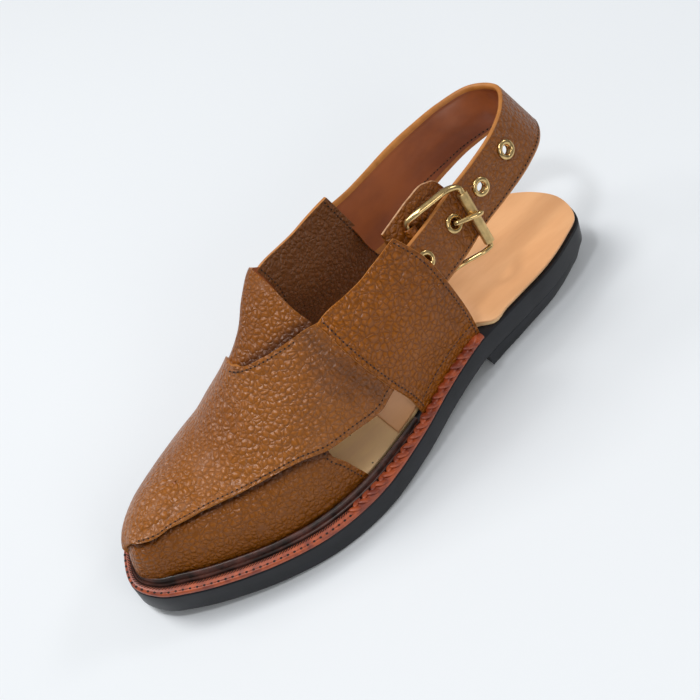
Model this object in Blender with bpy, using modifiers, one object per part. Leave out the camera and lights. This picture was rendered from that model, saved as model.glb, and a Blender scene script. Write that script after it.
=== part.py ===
# Chappal for the left foot: wide crossed upper, buckled heel strap, welted sole.
# Metres, +Z up. Toe towards -Y, lateral side (little toe) towards +X.
# The origin is the middle of the heel's tread face, on the floor.
# In the tables a station is a share of LENGTH from the heel's back to the toe.

import bmesh
import bpy
import numpy as np

# Driving sizes.
LENGTH = 0.290
BALL_WIDTH = 0.104
INSTEP = 0.100
HEEL_CENTRE = 0.045

# Sole stack.
OUTSOLE = 0.0137
ARCH = 0.0111
SPRING = 0.0056
EDGE_ROUND = 0.0009
HEEL_BREAST = 0.088
HEEL_TAPER = 0.0030
BREAST_SLANT = 0.0025
HEEL_INSET = 0.0006
HEEL_FLARE = 0.0006
INSOLE = 0.0022
SOCK = 0.0012
SOCK_FRONT = 0.150
SOCK_INSET = 0.0003
HEEL_EDGE = 0.0011
INSIDE_WALL = 0.0024
SOCK_ROUND = 0.0005

# Leather and trim.
UNDER_SKIN = 0.0016
OVER_SKIN = 0.0023
STRAP_SKIN = 0.0025
UNDER_OUT = -0.0002
OVER_OUT = 0.0012
LATERAL_OUT = 0.0030
MEDIAL_OUT = 0.0016
MARGIN = 0.0105
FOOT_RISE = 0.0005
WELT = 0.0024
WELT_IN = 0.48
WELT_OUT = 0.04
WELT_START = 0.300
WELT_END = 0.320
RAND_HIGH = 0.0050
RAND_OUT = 0.54
RAND_OFF_FOOT = 0.0017
RAND_START = 0.475
RAND_END = 0.460
STRAP_WIDTH = 0.028
STRAP_THICK = 0.0024

# Buckle and eyelets, set out along the heel strap's middle line.
ROLLER_AT = 0.186
ROLLER_ACROSS = 0.0040
BUCKLE_TURN = 14.0
EYELETS_AT = (0.150, 0.172, 0.195, 0.218)
EYELET_ACROSS = -0.002
EYELET_HOLE = 0.0024
EYELET_BARREL = 0.0031
EYELET_FLANGE = 0.0050
EYELET_LIP = 0.0007
ROLLER_LONG = 0.0290
ROLLER_OUTER = 0.0027
ROLLER_INNER = 0.0017
WIRE = 0.0013
FRAME_LONG = 0.0290
FRAME_HALF = 0.0168
PRONG = 0.0012
CHAPE_SKIN = 0.0013
CHAPE_LOOPS = ((-0.0140, 0.0090), (0.0083, 0.0045))

# Clearances.
GAP = 0.0003
LOOP_SLACK = 0.0006
EYELET_GAP = 0.0006

# Outline of the sole: station, lateral and medial share of BALL_WIDTH.
OUTLINE = (
    (0.00, 0.000, 0.000),
    (0.02, 0.173, -0.137),
    (0.06, 0.223, -0.243),
    (0.12, 0.270, -0.317),
    (0.20, 0.294, -0.331),
    (0.30, 0.318, -0.305),
    (0.40, 0.370, -0.290),
    (0.50, 0.448, -0.340),
    (0.60, 0.503, -0.434),
    (0.70, 0.499, -0.498),
    (0.80, 0.429, -0.474),
    (0.88, 0.330, -0.388),
    (0.94, 0.232, -0.279),
    (0.98, 0.141, -0.149),
    (1.00, 0.0125, 0.0125),
)

# Underside of the outsole: station, share of ARCH, share of SPRING.
BOTTOM = (
    (0.31, 1.00, 0.0),
    (0.35, 0.84, 0.0),
    (0.45, 0.42, 0.0),
    (0.55, 0.14, 0.0),
    (0.64, 0.00, 0.0),
    (0.72, 0.00, 0.0),
    (0.80, 0.00, 0.2),
    (0.90, 0.00, 0.5),
    (1.00, 0.00, 1.0),
)

# Sole's edge to the upper's foot: station, lateral and medial share of MARGIN.
MARGINS = (
    (0.00, 0.30, 0.30),
    (0.26, 0.60, 0.55),
    (0.47, 0.74, 0.60),
    (0.55, 0.93, 0.58),
    (0.80, 1.00, 0.50),
    (0.90, 1.00, 0.48),
    (0.96, 0.95, 0.52),
    (1.00, 0.68, 0.68),
)

# How far the insole has turned in from the sole's edge to the inside of the
# upper's walls: station, lateral share, medial share.
INSOLE_TURN = (
    (0.000, 0.0, 0.0),
    (0.200, 0.0, 0.0),
    (0.235, 0.0, 1.0),
    (0.268, 0.0, 1.0),
    (0.295, 1.0, 1.0),
    (0.330, 1.0, 1.0),
    (1.000, 1.0, 1.0),
)

# Sections of the last above the foot line. Foot station, crown station,
# crown's share of BALL_WIDTH sideways, crown's share of INSTEP, fullness.
LATERAL = (
    (0.260, 0.310, -0.19, 0.98, 2.0),
    (0.400, 0.445, -0.20, 1.00, 2.0),
    (0.500, 0.555, -0.27, 1.00, 2.0),
    (0.580, 0.620, -0.20, 0.85, 2.1),
    (0.660, 0.685, -0.14, 0.69, 2.2),
    (0.750, 0.750, -0.10, 0.56, 2.3),
    (0.850, 0.800, -0.07, 0.50, 2.4),
    (0.965, 0.840, -0.05, 0.50, 2.7),
)
MEDIAL = (
    (0.160, 0.290, -0.42, 0.99, 1.3),
    (0.240, 0.360, -0.43, 0.99, 1.3),
    (0.340, 0.450, -0.44, 0.99, 1.3),
    (0.430, 0.535, -0.40, 0.985, 1.4),
    (0.520, 0.585, -0.30, 0.93, 1.7),
    (0.590, 0.630, -0.19, 0.83, 1.9),
    (0.660, 0.685, -0.14, 0.69, 1.9),
    (0.750, 0.750, -0.10, 0.56, 1.85),
    (0.850, 0.800, -0.07, 0.50, 2.0),
    (0.965, 0.840, -0.05, 0.50, 2.6),
)

# Edges of the panels. Girth is the share of the way from the foot (0) to the
# crown (1); reach is a share of LENGTH along the foot line from the toe.
UNDER_LATERAL_REAR = (
    (0.00, 0.419),
    (0.17, 0.398),
    (0.33, 0.386),
    (0.45, 0.430),
    (0.55, 0.482),
    (0.63, 0.514),
    (0.70, 0.509),
    (0.82, 0.515),
    (0.91, 0.530),
    (1.00, 0.540),
)
UNDER_MEDIAL_REAR = (
    (0.00, 0.431),
    (0.43, 0.409),
    (0.48, 0.448),
    (0.55, 0.569),
    (0.62, 0.628),
    (0.70, 0.636),
    (0.76, 0.622),
    (0.80, 0.607),
    (0.87, 0.606),
    (1.00, 0.629),
)
# Over panel's lower edge on the lateral side and rear edge: reach, girth.
OVER_FRONT = (
    (0.000, 0.500),
    (0.004, 0.510),
    (0.067, 0.620),
    (0.137, 0.627),
    (0.248, 0.550),
    (0.340, 0.425),
    (0.386, 0.332),
    (0.433, 0.275),
    (0.493, 0.211),
    (0.545, 0.218),
)
OVER_REAR = (
    (0.389, 1.000),
    (0.395, 0.948),
    (0.422, 0.839),
    (0.451, 0.762),
    (0.487, 0.683),
    (0.517, 0.630),
    (0.545, 0.600),
)
OVER_TOE = (
    (0.000, 0.500),
    (0.020, 0.330),
    (0.034, 0.190),
    (0.044, 0.020),
    (0.050, 0.000),
)
# Side straps: girth share of the strap's top edge, front reach, rear reach.
LATERAL_STRAP = (
    (0.00, 0.554, 0.724),
    (0.17, 0.545, 0.722),
    (0.43, 0.523, 0.718),
    (0.75, 0.510, 0.715),
    (1.00, 0.513, 0.706),
)
MEDIAL_STRAP = (
    (0.00, 0.603, 0.797),
    (0.50, 0.603, 0.797),
    (1.00, 0.603, 0.803),
)
# Top edge of a side strap: share of the way from front to rear, girth.
LATERAL_TOP = (
    (0.00, 0.630),
    (0.33, 0.630),
    (0.66, 0.650),
    (1.00, 0.655),
)
MEDIAL_TOP = (
    (0.00, 0.782),
    (0.50, 0.755),
    (1.00, 0.804),
)

# Heel strap's middle line: share of BALL_WIDTH sideways, station, share of
# INSTEP upwards, and the sideways and forward lean of its lower edge.
HEEL_STRAP = (
    (-0.340, 0.345, 0.752, 0.50, -0.12),
    (-0.350, 0.310, 0.746, 0.51, -0.12),
    (-0.369, 0.268, 0.741, 0.53, -0.11),
    (-0.400, 0.204, 0.734, 0.54, -0.10),
    (-0.415, 0.140, 0.732, 0.54, -0.10),
    (-0.409, 0.077, 0.742, 0.52, -0.12),
    (-0.346, 0.020, 0.770, 0.50, -0.17),
    (-0.193, -0.003, 0.810, 0.49, -0.26),
    (-0.060, 0.030, 0.838, 0.49, -0.29),
    (0.012, 0.081, 0.830, 0.42, -0.26),
    (0.040, 0.140, 0.790, 0.38, -0.24),
    (0.060, 0.201, 0.757, 0.38, -0.21),
    (0.095, 0.260, 0.737, 0.45, -0.19),
    (0.119, 0.320, 0.716, 0.48, -0.16),
    (0.134, 0.350, 0.714, 0.46, -0.14),
    (0.141, 0.378, 0.716, 0.44, -0.13),
)
# Leather flap behind the buckle, in metres from the roller's middle: forward
# along the frame, upper edge and lower edge along the roller.
CHAPE = (
    (0.0005, -0.0160, -0.0020),
    (0.0030, -0.0220, 0.0040),
    (0.0080, -0.0255, 0.0080),
    (0.0200, -0.0250, 0.0100),
    (0.0310, -0.0220, 0.0100),
    (0.0380, -0.0170, 0.0100),
    (0.0500, -0.0150, 0.0100),
)

# Counts of facets.
OUTLINE_POINTS = 720
SOLE_STEPS = 34
INSOLE_STEPS = 54
SOCK_STEPS = 40
HEEL_STEPS = 24
BAND_STEPS = 52
SECTIONS = 24
ROWS = 11
STRAP_STEPS = 46
EYELET_STEPS = 16

# Tan-brown grained leather and the rest: base colour, roughness, metallic.
MATERIALS = {
    "grained_leather": ((0.300, 0.105, 0.022), 0.46, 0.0),
    "lining_leather": ((0.220, 0.055, 0.018), 0.50, 0.0),
    "sock_leather": ((0.780, 0.430, 0.205), 0.55, 0.0),
    "insole_board": ((0.580, 0.350, 0.160), 0.70, 0.0),
    "welt_leather": ((0.500, 0.085, 0.025), 0.45, 0.0),
    "rand_leather": ((0.045, 0.014, 0.009), 0.40, 0.0),
    "sole_rubber": ((0.021, 0.021, 0.026), 0.42, 0.0),
    "brass": ((0.640, 0.430, 0.170), 0.28, 1.0),
}


def cubic(xs, ys, x):
    """Smooth curve through the points of a table, flat-ended past them."""
    xs = np.asarray(xs, float)
    ys = np.asarray(ys, float)
    x = np.clip(np.asarray(x, float), xs[0], xs[-1])
    h = np.diff(xs)
    d = np.diff(ys) / h
    m = np.empty_like(ys)
    m[0] = d[0]
    m[-1] = d[-1]
    m[1:-1] = (d[:-1] * h[1:] + d[1:] * h[:-1]) / (h[1:] + h[:-1])
    i = np.clip(np.searchsorted(xs, x, side="right") - 1, 0, len(xs) - 2)
    u = (x - xs[i]) / h[i]
    rise = u * u * (3 - 2 * u)
    bend_in = h[i] * m[i] * u * (1 - u) ** 2
    bend_out = h[i] * m[i + 1] * u * u * (u - 1)
    return ys[i] + (ys[i + 1] - ys[i]) * rise + bend_in + bend_out


def column(table, key, value, x):
    """A table's column, read at x of its key column."""
    rows = np.array(table)
    return cubic(rows[:, key], rows[:, value], x)


def outline_loop():
    """The sole's edge: heel's back, lateral side, toe, medial side."""
    rows = np.array(OUTLINE)
    t = np.concatenate([rows[:, 0], rows[-2:0:-1, 0]]) * LENGTH
    x = np.concatenate([rows[:, 1], rows[-2:0:-1, 2]]) * BALL_WIDTH
    k = 3
    tt = np.concatenate([t[-k:], t, t[: k + 1]])
    xx = np.concatenate([x[-k:], x, x[: k + 1]])
    d = np.concatenate([[0], np.cumsum(np.hypot(np.diff(tt), np.diff(xx)))])
    s = np.linspace(d[k], d[k + len(t)], OUTLINE_POINTS, endpoint=False)
    return cubic(d, xx, s), cubic(d, tt, s)


def inset_loop(inset):
    """The sole's edge moved inwards by inset."""
    x, t = outline_loop()
    dx = np.roll(x, -1) - np.roll(x, 1)
    dt = np.roll(t, -1) - np.roll(t, 1)
    run = np.hypot(dx, dt)
    return x - dt / run * inset, t + dx / run * inset


def margin():
    """Width from the sole's edge to the upper's foot, round the outline."""
    _, t = outline_loop()
    side = np.arange(len(t)) <= np.argmax(t)
    share = t / LENGTH
    lateral = column(MARGINS, 0, 1, share)
    medial = column(MARGINS, 0, 2, share)
    return np.where(side, lateral, medial) * MARGIN


def sole_bottom(t):
    share = t / LENGTH
    rise = column(BOTTOM, 0, 1, share) * ARCH + column(BOTTOM, 0, 2, share) * SPRING
    return np.maximum(rise, 0)


def sole_top(t):
    return sole_bottom(t) + OUTSOLE


def foot_loop():
    """The upper's foot line from the toe, medial side first, with its length."""
    x, t = inset_loop(margin())
    tip = int(np.argmax(t))
    x = np.append(np.roll(x, -tip), x[tip])
    t = np.append(np.roll(t, -tip), t[tip])
    return x, t, np.concatenate([[0], np.cumsum(np.hypot(np.diff(x), np.diff(t)))])


FOOT_X, FOOT_T, FOOT_RUN = foot_loop()


def foot(reach):
    """Point of the foot line at reach from the toe, lateral positive."""
    s = np.where(reach > 0, FOOT_RUN[-1] - reach, -reach)
    return np.interp(s, FOOT_RUN, FOOT_X), np.interp(s, FOOT_RUN, FOOT_T)


def wall(reach, girth):
    """Point (x, t, z) of the last's surface."""
    fx, ft = foot(reach)
    fz = sole_top(ft) + FOOT_RISE
    share = ft / LENGTH

    def crown(value):
        lateral = column(LATERAL, 0, value, share)
        return np.where(reach > 0, lateral, column(MEDIAL, 0, value, share))

    angle = girth * np.pi / 2
    full = 2 / crown(4)
    across = 1 - np.maximum(np.cos(angle), 0) ** full
    up = np.maximum(np.sin(angle), 0) ** full
    cx = crown(2) * BALL_WIDTH
    ct = crown(1) * LENGTH
    cz = crown(3) * INSTEP
    return np.stack([fx + (cx - fx) * across, ft + (ct - ft) * across, fz + (cz - fz) * up], -1)


def wall_out(reach, girth, out):
    """Point of the last's surface moved outwards by out."""
    reach = np.asarray(reach, float)
    girth = np.asarray(girth, float)
    step = 0.0001
    low = np.clip(girth - 0.001, 0.002, 1)
    high = np.clip(girth + 0.001, 0.003, 1)
    along = wall(reach + step, girth) - wall(reach - step, girth)
    up = wall(reach, high) - wall(reach, low)
    normal = np.cross(along, up)
    normal /= np.linalg.norm(normal, axis=-1, keepdims=True) + 1e-12
    normal *= np.where(normal[..., 2:] >= 0, 1, -1)
    return wall(reach, girth) + normal * out


def place(points):
    """From (x, t, z), t forward of the heel's back, to the part's frame."""
    points = np.asarray(points, float)
    return np.stack([points[..., 0], HEEL_CENTRE - points[..., 1], points[..., 2]], -1)


def material(name):
    found = bpy.data.materials.get(name)
    if found:
        return found
    colour, rough, metal = MATERIALS[name]
    made = bpy.data.materials.new(name)
    made.use_nodes = True
    shader = made.node_tree.nodes["Principled BSDF"]
    shader.inputs["Base Color"].default_value = (*colour, 1)
    shader.inputs["Roughness"].default_value = rough
    shader.inputs["Metallic"].default_value = metal
    made.diffuse_color = (*colour, 1)
    return made


def new_object(name, points, faces, skin, collection):
    """An object from points in the part's frame, its faces turned outwards."""
    mesh = bpy.data.meshes.new(name)
    mesh.from_pydata([tuple(p) for p in np.asarray(points, float)], [], faces)
    work = bmesh.new()
    work.from_mesh(mesh)
    bmesh.ops.remove_doubles(work, verts=work.verts, dist=0.00002)
    bmesh.ops.recalc_face_normals(work, faces=work.faces)
    work.to_mesh(mesh)
    work.free()
    obj = bpy.data.objects.new(name, mesh)
    mesh.materials.append(material(skin))
    collection.objects.link(obj)
    return obj


def smooth(obj, degrees=35):
    obj.data.shade_smooth()
    obj.data.set_sharp_from_angle(angle=np.radians(degrees))


def apply_modifiers(obj):
    graph = bpy.context.evaluated_depsgraph_get()
    mesh = bpy.data.meshes.new_from_object(obj.evaluated_get(graph))
    obj.modifiers.clear()
    old = obj.data
    obj.data = mesh
    bpy.data.meshes.remove(old)


def stations(start, end, count):
    """Stations closer together towards both ends."""
    return start + (end - start) * (1 - np.cos(np.linspace(0, np.pi, count))) / 2


def sides_at(inset, share_run):
    """Lateral and medial points of the inset edge at shares of its length."""
    x, t = inset_loop(inset)
    heel = int(np.argmin(t))
    x = np.roll(x, -heel)
    t = np.roll(t, -heel)
    toe = int(np.argmax(t))
    at = t[0] + (t[toe] - t[0]) * share_run
    lateral = np.interp(at, np.maximum.accumulate(t[: toe + 1]), x[: toe + 1])
    back_t = np.append(t[toe:], t[0])[::-1]
    back_x = np.append(x[toe:], x[0])[::-1]
    medial = np.interp(at, np.maximum.accumulate(back_t), back_x)
    return at, lateral, medial


def slab(name, rings, skin, collection):
    """A body from rings of stations: each ring is (t, lateral, medial, z)."""
    points = []
    faces = []
    count = len(rings[0][0])
    for t, lateral, medial, z in rings:
        points += [(lateral[k], t[k], z[k]) for k in range(count)]
        points += [(medial[k], t[k], z[k]) for k in range(count)]
    loop = list(range(count)) + list(range(2 * count - 1, count - 1, -1))
    for r in range(len(rings) - 1):
        low = r * 2 * count
        high = low + 2 * count
        for a, b in zip(loop, loop[1:] + loop[:1]):
            faces.append((low + a, low + b, high + b, high + a))
    last = (len(rings) - 1) * 2 * count
    for k in range(count - 1):
        faces.append((k, k + 1, count + k + 1, count + k))
        faces.append((last + k, last + k + 1, last + count + k + 1, last + count + k))
    return new_object(name, place(points), faces, skin, collection)


def sole_ring(inset, height, share_run):
    """A ring of the sole: inset from its edge, height a function of t."""
    t, lateral, medial = sides_at(inset, share_run)
    return t, lateral, medial, height(t)


def build_outsole(collection):
    run = stations(0, 1, SOLE_STEPS)
    zero = np.zeros(OUTLINE_POINTS)
    rings = (
        sole_ring(zero + EDGE_ROUND, sole_bottom, run),
        sole_ring(zero, lambda t: sole_bottom(t) + EDGE_ROUND, run),
        sole_ring(zero, lambda t: sole_top(t) - EDGE_ROUND, run),
        sole_ring(zero + EDGE_ROUND, sole_top, run),
    )
    smooth(slab("outsole", rings, "sole_rubber", collection))


def short_run(inset, end, steps):
    """Shares of the inset edge's length that stop at the station end."""
    share = stations(0, 2, 2 * steps)[:steps]
    _, t = inset_loop(inset)
    return share / share[-1] * (end - t.min()) / (t.max() - t.min())


def build_heel_lift(collection):
    """Heel with a drawn-in back and a breast that slants under the sole."""
    _, edge_t = outline_loop()
    back = np.clip(1 - edge_t / HEEL_BREAST, 0, 1)
    top = ARCH - GAP
    levels = (
        (HEEL_INSET + EDGE_ROUND, top, 0.0),
        (HEEL_INSET, top - EDGE_ROUND, 0.0),
        (HEEL_INSET + HEEL_FLARE, EDGE_ROUND, 1.0),
        (HEEL_INSET + HEEL_FLARE + EDGE_ROUND, 0.0, 1.0),
    )
    rings = []
    for inset, z, low in levels:
        edge = inset + back * HEEL_TAPER * low
        run = short_run(edge, HEEL_BREAST - BREAST_SLANT * low, HEEL_STEPS)
        t, lateral, medial = sides_at(edge, run)
        rings.append((t, lateral, medial, np.full(len(t), z)))
    smooth(slab("heel_lift", rings, "sole_rubber", collection))


def insole_inset():
    """Near the sole's edge at the heel, inside the upper's walls beyond it."""
    _, t = outline_loop()
    side = np.arange(len(t)) <= np.argmax(t)
    share = t / LENGTH
    lateral = column(INSOLE_TURN, 0, 1, share)
    turn = np.where(side, lateral, column(INSOLE_TURN, 0, 2, share))
    return HEEL_EDGE + (margin() + INSIDE_WALL - HEEL_EDGE) * turn


def build_insole(collection):
    run = stations(0, 1, INSOLE_STEPS)
    inset = insole_inset()
    rings = (
        sole_ring(inset, lambda t: sole_top(t) + GAP, run),
        sole_ring(inset, lambda t: sole_top(t) + INSOLE - 0.0006, run),
        sole_ring(inset + 0.0006, lambda t: sole_top(t) + INSOLE, run),
    )
    smooth(slab("insole", rings, "insole_board", collection))


def build_heel_sock(collection):
    inset = insole_inset() + SOCK_INSET
    low = INSOLE + GAP
    high = low + SOCK
    rings = []
    for more, rise in ((0, low), (0, high - SOCK_ROUND), (SOCK_ROUND, high)):
        run = short_run(inset + more, SOCK_FRONT - more, SOCK_STEPS)
        t, lateral, medial = sides_at(inset + more, run)
        rings.append((t, lateral, medial, sole_top(t) + rise))
    smooth(slab("heel_sock", rings, "sock_leather", collection))


def band(name, start, end, section, skin, collection):
    """A strip round the forefoot, lateral start to medial end.

    section gives for each loop point its (inset, height) ring."""
    x, t = outline_loop()
    tip = int(np.argmax(t))
    side = np.arange(len(t)) <= tip
    inside = np.where(side, t > start * LENGTH, t > end * LENGTH)
    which = np.flatnonzero(inside)
    pick = which[np.linspace(0, len(which) - 1, BAND_STEPS).round().astype(int)]
    rings = []
    for inset, height in section():
        ix, it = inset_loop(inset)
        points = np.stack([ix, it, sole_top(it) + height], -1)
        rings.append(points[pick])
    points = np.stack(rings, 1).reshape(-1, 3)
    size = len(rings)
    faces = [tuple(range(size)), tuple(range(len(points) - size, len(points)))]
    for k in range(BAND_STEPS - 1):
        for j in range(size):
            a = k * size + j
            b = k * size + (j + 1) % size
            faces.append((a, b, b + size, a + size))
    smooth(new_object(name, place(points), faces, skin, collection), 50)


def welt_section():
    inner = margin() * WELT_IN
    outer = margin() * WELT_OUT
    return (
        (outer, GAP),
        (inner, GAP),
        (inner, WELT),
        (outer + 0.0006, WELT),
        (outer, WELT - 0.0007),
    )


def rand_section():
    outer = margin() * RAND_OUT
    inner = margin() - RAND_OFF_FOOT
    middle = (outer + inner) / 2
    return (
        (outer, GAP),
        (inner, GAP),
        (inner, RAND_HIGH * 0.75),
        (middle, RAND_HIGH),
        (outer, RAND_HIGH * 0.65),
    )


def grid_faces(rows, columns, start=0):
    faces = []
    for i in range(rows - 1):
        for j in range(columns - 1):
            a = start + i * columns + j
            faces.append((a, a + columns, a + columns + 1, a + 1))
    return faces


def crown_match(reach):
    """Medial reach whose crown station equals the lateral one's."""
    tried = np.linspace(0.0, 0.80 * LENGTH, 400)
    _, lateral_t = foot(tried)
    _, medial_t = foot(-tried)
    lateral = column(LATERAL, 0, 1, lateral_t / LENGTH)
    medial = column(MEDIAL, 0, 1, medial_t / LENGTH)
    wanted = np.interp(reach, tried, lateral)
    found = np.interp(-wanted, -medial, tried)
    ramp = np.clip(reach / (0.10 * LENGTH), 0, 1)
    return found * ramp + reach * (1 - ramp)


def roof(lateral_rear, medial_rear, lateral_foot, medial_foot, out):
    """Sections from the lateral side over the crown to the medial side.

    The rear functions give each girth's last reach; the foot functions give
    each reach's lowest girth."""
    share = np.linspace(0, 1, SECTIONS)
    rise = np.linspace(0, 1, ROWS)
    points = []
    end = lateral_rear(1.0)
    medial_end = medial_rear(1.0)
    for u in share:
        first = end * u
        low = lateral_foot(first)
        girth = low + (1 - low) * rise
        lateral = wall_out(np.maximum(u * lateral_rear(girth), 1e-6), girth, out)
        twin = crown_match(np.array(first))
        fit = u * (medial_end - crown_match(np.array(end)))
        low = medial_foot(twin)
        girth = low + (1 - low) * rise
        bend = u * (medial_rear(girth) - medial_end)
        medial = wall_out(-np.maximum(twin + fit + bend, 1e-6), girth, out)
        crown = (lateral[-1] + medial[-1]) / 2
        points.append(np.concatenate([lateral[:-1], [crown], medial[-2::-1]]))
    return np.array(points)


def thicken(obj, thick):
    """Gives a sheet its thickness, inwards, with closed rims."""
    skin = obj.modifiers.new("skin", "SOLIDIFY")
    skin.thickness = thick
    skin.offset = -1
    skin.use_rim = True
    skin.use_even_offset = False
    skin.use_quality_normals = True
    apply_modifiers(obj)


def sheet(name, grids, thick, collection):
    """A thickened sheet from grids of points whose shared edges weld."""
    points = []
    faces = []
    for grid in grids:
        rows, columns = grid.shape[:2]
        faces += grid_faces(rows, columns, len(points))
        points += list(grid.reshape(-1, 3))
    obj = new_object(name, place(points), faces, "grained_leather", collection)
    up = sum(face.normal.z * face.area for face in obj.data.polygons)
    if up < 0:
        obj.data.flip_normals()
    thicken(obj, thick)
    return obj


def no_cut(reach):
    return 0.0


def under_grids():
    def lateral_rear(girth):
        return column(UNDER_LATERAL_REAR, 0, 1, girth) * LENGTH

    def medial_rear(girth):
        return column(UNDER_MEDIAL_REAR, 0, 1, girth) * LENGTH

    return [roof(lateral_rear, medial_rear, no_cut, no_cut, UNDER_OUT)]


def over_grids():
    front = OVER_REAR[0][0] * LENGTH

    def lateral_rear(girth):
        return front + 0 * girth

    def medial_rear(girth):
        return crown_match(np.array(front)) + 0 * girth

    def lateral_foot(reach):
        return column(OVER_FRONT, 0, 1, reach / LENGTH)

    def medial_foot(reach):
        return column(OVER_TOE, 0, 1, reach / LENGTH)

    main = roof(lateral_rear, medial_rear, lateral_foot, medial_foot, OVER_OUT)
    rise = np.linspace(0, 1, ROWS)
    wing = []
    for reach in np.linspace(OVER_REAR[0][0], OVER_REAR[-1][0], 12):
        low = column(OVER_FRONT, 0, 1, reach)
        high = column(OVER_REAR, 0, 1, reach)
        girth = low + (high - low) * rise
        wing.append(wall_out(np.full(ROWS, reach * LENGTH), girth, OVER_OUT))
    wing = np.array(wing)
    wing[0] = main[-1, :ROWS]
    return [main, wing]


def strap_grid(edges, top, side, out):
    across = np.linspace(0, 1, 11)
    rise = np.linspace(0, 1, 13)
    grid = []
    for s in across:
        girth = rise * column(top, 0, 1, s)
        front = column(edges, 0, 1, rise) * LENGTH
        rear = column(edges, 0, 2, rise) * LENGTH
        grid.append(wall_out(side * (front + (rear - front) * s), girth, out))
    return np.array(grid)


def build_upper(collection):
    """The crossed panels and both side straps, joined where they cross."""
    upper = sheet("upper", under_grids(), UNDER_SKIN, collection)
    lateral = strap_grid(LATERAL_STRAP, LATERAL_TOP, 1, LATERAL_OUT)
    medial = strap_grid(MEDIAL_STRAP, MEDIAL_TOP, -1, MEDIAL_OUT)
    pieces = (
        sheet("over_panel", over_grids(), OVER_SKIN, collection),
        sheet("lateral_strap", [lateral], STRAP_SKIN, collection),
        sheet("medial_strap", [medial], STRAP_SKIN, collection),
    )
    for piece in pieces:
        join = upper.modifiers.new("join", "BOOLEAN")
        join.operation = "UNION"
        join.solver = "EXACT"
        join.use_self = True
        join.object = piece
    apply_modifiers(upper)
    for piece in pieces:
        bpy.data.objects.remove(piece)
    smooth(upper)


def heel_strap_frames(count):
    """Evenly spaced (point, forward, down, outward) along the middle line."""
    rows = np.array(HEEL_STRAP)
    mid = np.stack([rows[:, 0] * BALL_WIDTH, rows[:, 1] * LENGTH, rows[:, 2] * INSTEP], -1)
    d = np.concatenate([[0], np.cumsum(np.linalg.norm(np.diff(mid, axis=0), axis=1))])
    s = np.linspace(0, d[-1], count)
    line = np.stack([cubic(d, mid[:, k], s) for k in range(3)], -1)
    lean = np.stack([cubic(d, rows[:, k], s) for k in (3, 4)], -1)
    fall = -np.sqrt(1 - (lean**2).sum(-1, keepdims=True))
    down = np.concatenate([lean, fall], -1)
    ahead = np.gradient(line, axis=0)
    ahead /= np.linalg.norm(ahead, axis=-1, keepdims=True)
    out = np.cross(down, ahead)
    out /= np.linalg.norm(out, axis=-1, keepdims=True)
    return s, line, ahead, down, out


STRAP_FRAMES = heel_strap_frames(400)


def strap_axes(at):
    """Origin, forward, down and outward (x, t, z) at a place along the strap."""
    s = STRAP_FRAMES[0]
    found = []
    for values in STRAP_FRAMES[1:]:
        found.append(np.array([np.interp(at, s, values[:, k]) for k in range(3)]))
    line, _, down, out = found
    down /= np.linalg.norm(down)
    out -= down * (out @ down)
    out /= np.linalg.norm(out)
    return line, np.cross(out, down), down, out


def strap_point(at, across=0.0, outward=0.0):
    """A point in the part's frame, from a place along the heel strap."""
    line, _, down, out = strap_axes(at)
    return place(line + down * across + out * outward)


def build_heel_strap(collection):
    _, line, _, down, out = heel_strap_frames(STRAP_STEPS)
    half = STRAP_WIDTH / 2
    thick = STRAP_THICK / 2
    ring = (
        (-half + 0.0008, thick),
        (half - 0.0008, thick),
        (half, thick - 0.0008),
        (half, 0.0008 - thick),
        (half - 0.0008, -thick),
        (-half + 0.0008, -thick),
        (-half, 0.0008 - thick),
        (-half, thick - 0.0008),
    )
    points = [line + down * a + out * b for a, b in ring]
    points = np.stack(points, 1).reshape(-1, 3)
    size = len(ring)
    faces = [tuple(range(size)), tuple(range(len(points) - size, len(points)))]
    for k in range(STRAP_STEPS - 1):
        for j in range(size):
            a = k * size + j
            b = k * size + (j + 1) % size
            faces.append((a, b, b + size, a + size))
    strap = new_object("heel_strap", place(points), faces, "lining_leather", collection)
    return strap


def turned(name, profile, origin, spin, side, skin, collection, steps=20):
    """A profile of (radius, height) turned round the line through origin."""
    third = np.cross(spin, side)
    points = []
    for k in range(steps):
        angle = 2 * np.pi * k / steps
        way = side * np.cos(angle) + third * np.sin(angle)
        points += [origin + way * r + spin * h for r, h in profile]
    size = len(profile)
    faces = []
    for k in range(steps):
        for j in range(size):
            a = k * size + j
            b = k * size + (j + 1) % size
            c = (k + 1) % steps * size
            faces.append((a, b, c + (j + 1) % size, c + j))
    return new_object(name, points, faces, skin, collection)


def across_strap(name, profile, at, skin, collection):
    """A turned piece that stands through the strap."""
    origin = strap_point(at, EYELET_ACROSS)
    spin = strap_point(at, EYELET_ACROSS, 1.0) - origin
    side = strap_point(at, EYELET_ACROSS + 1.0) - origin
    return turned(name, profile, origin, spin, side, skin, collection, EYELET_STEPS)


def trim_strap(strap, cutters):
    """Ends the heel strap at the medial side strap's rear edge."""
    gap = 3 * GAP / LENGTH
    edges = ((0.0, 0.60, 0.797 + gap), (0.5, 0.60, 0.797 + gap), (1.0, 0.60, 0.803 + gap))
    block = strap_grid(edges, ((0.0, 0.95), (1.0, 0.95)), -1, 0.008)
    cutter = sheet("strap_end", [block], 0.016, cutters)
    cutter.hide_render = True
    cutter.display_type = "WIRE"
    cut = strap.modifiers.new("end", "BOOLEAN")
    cut.operation = "DIFFERENCE"
    cut.solver = "EXACT"
    cut.object = cutter


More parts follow.
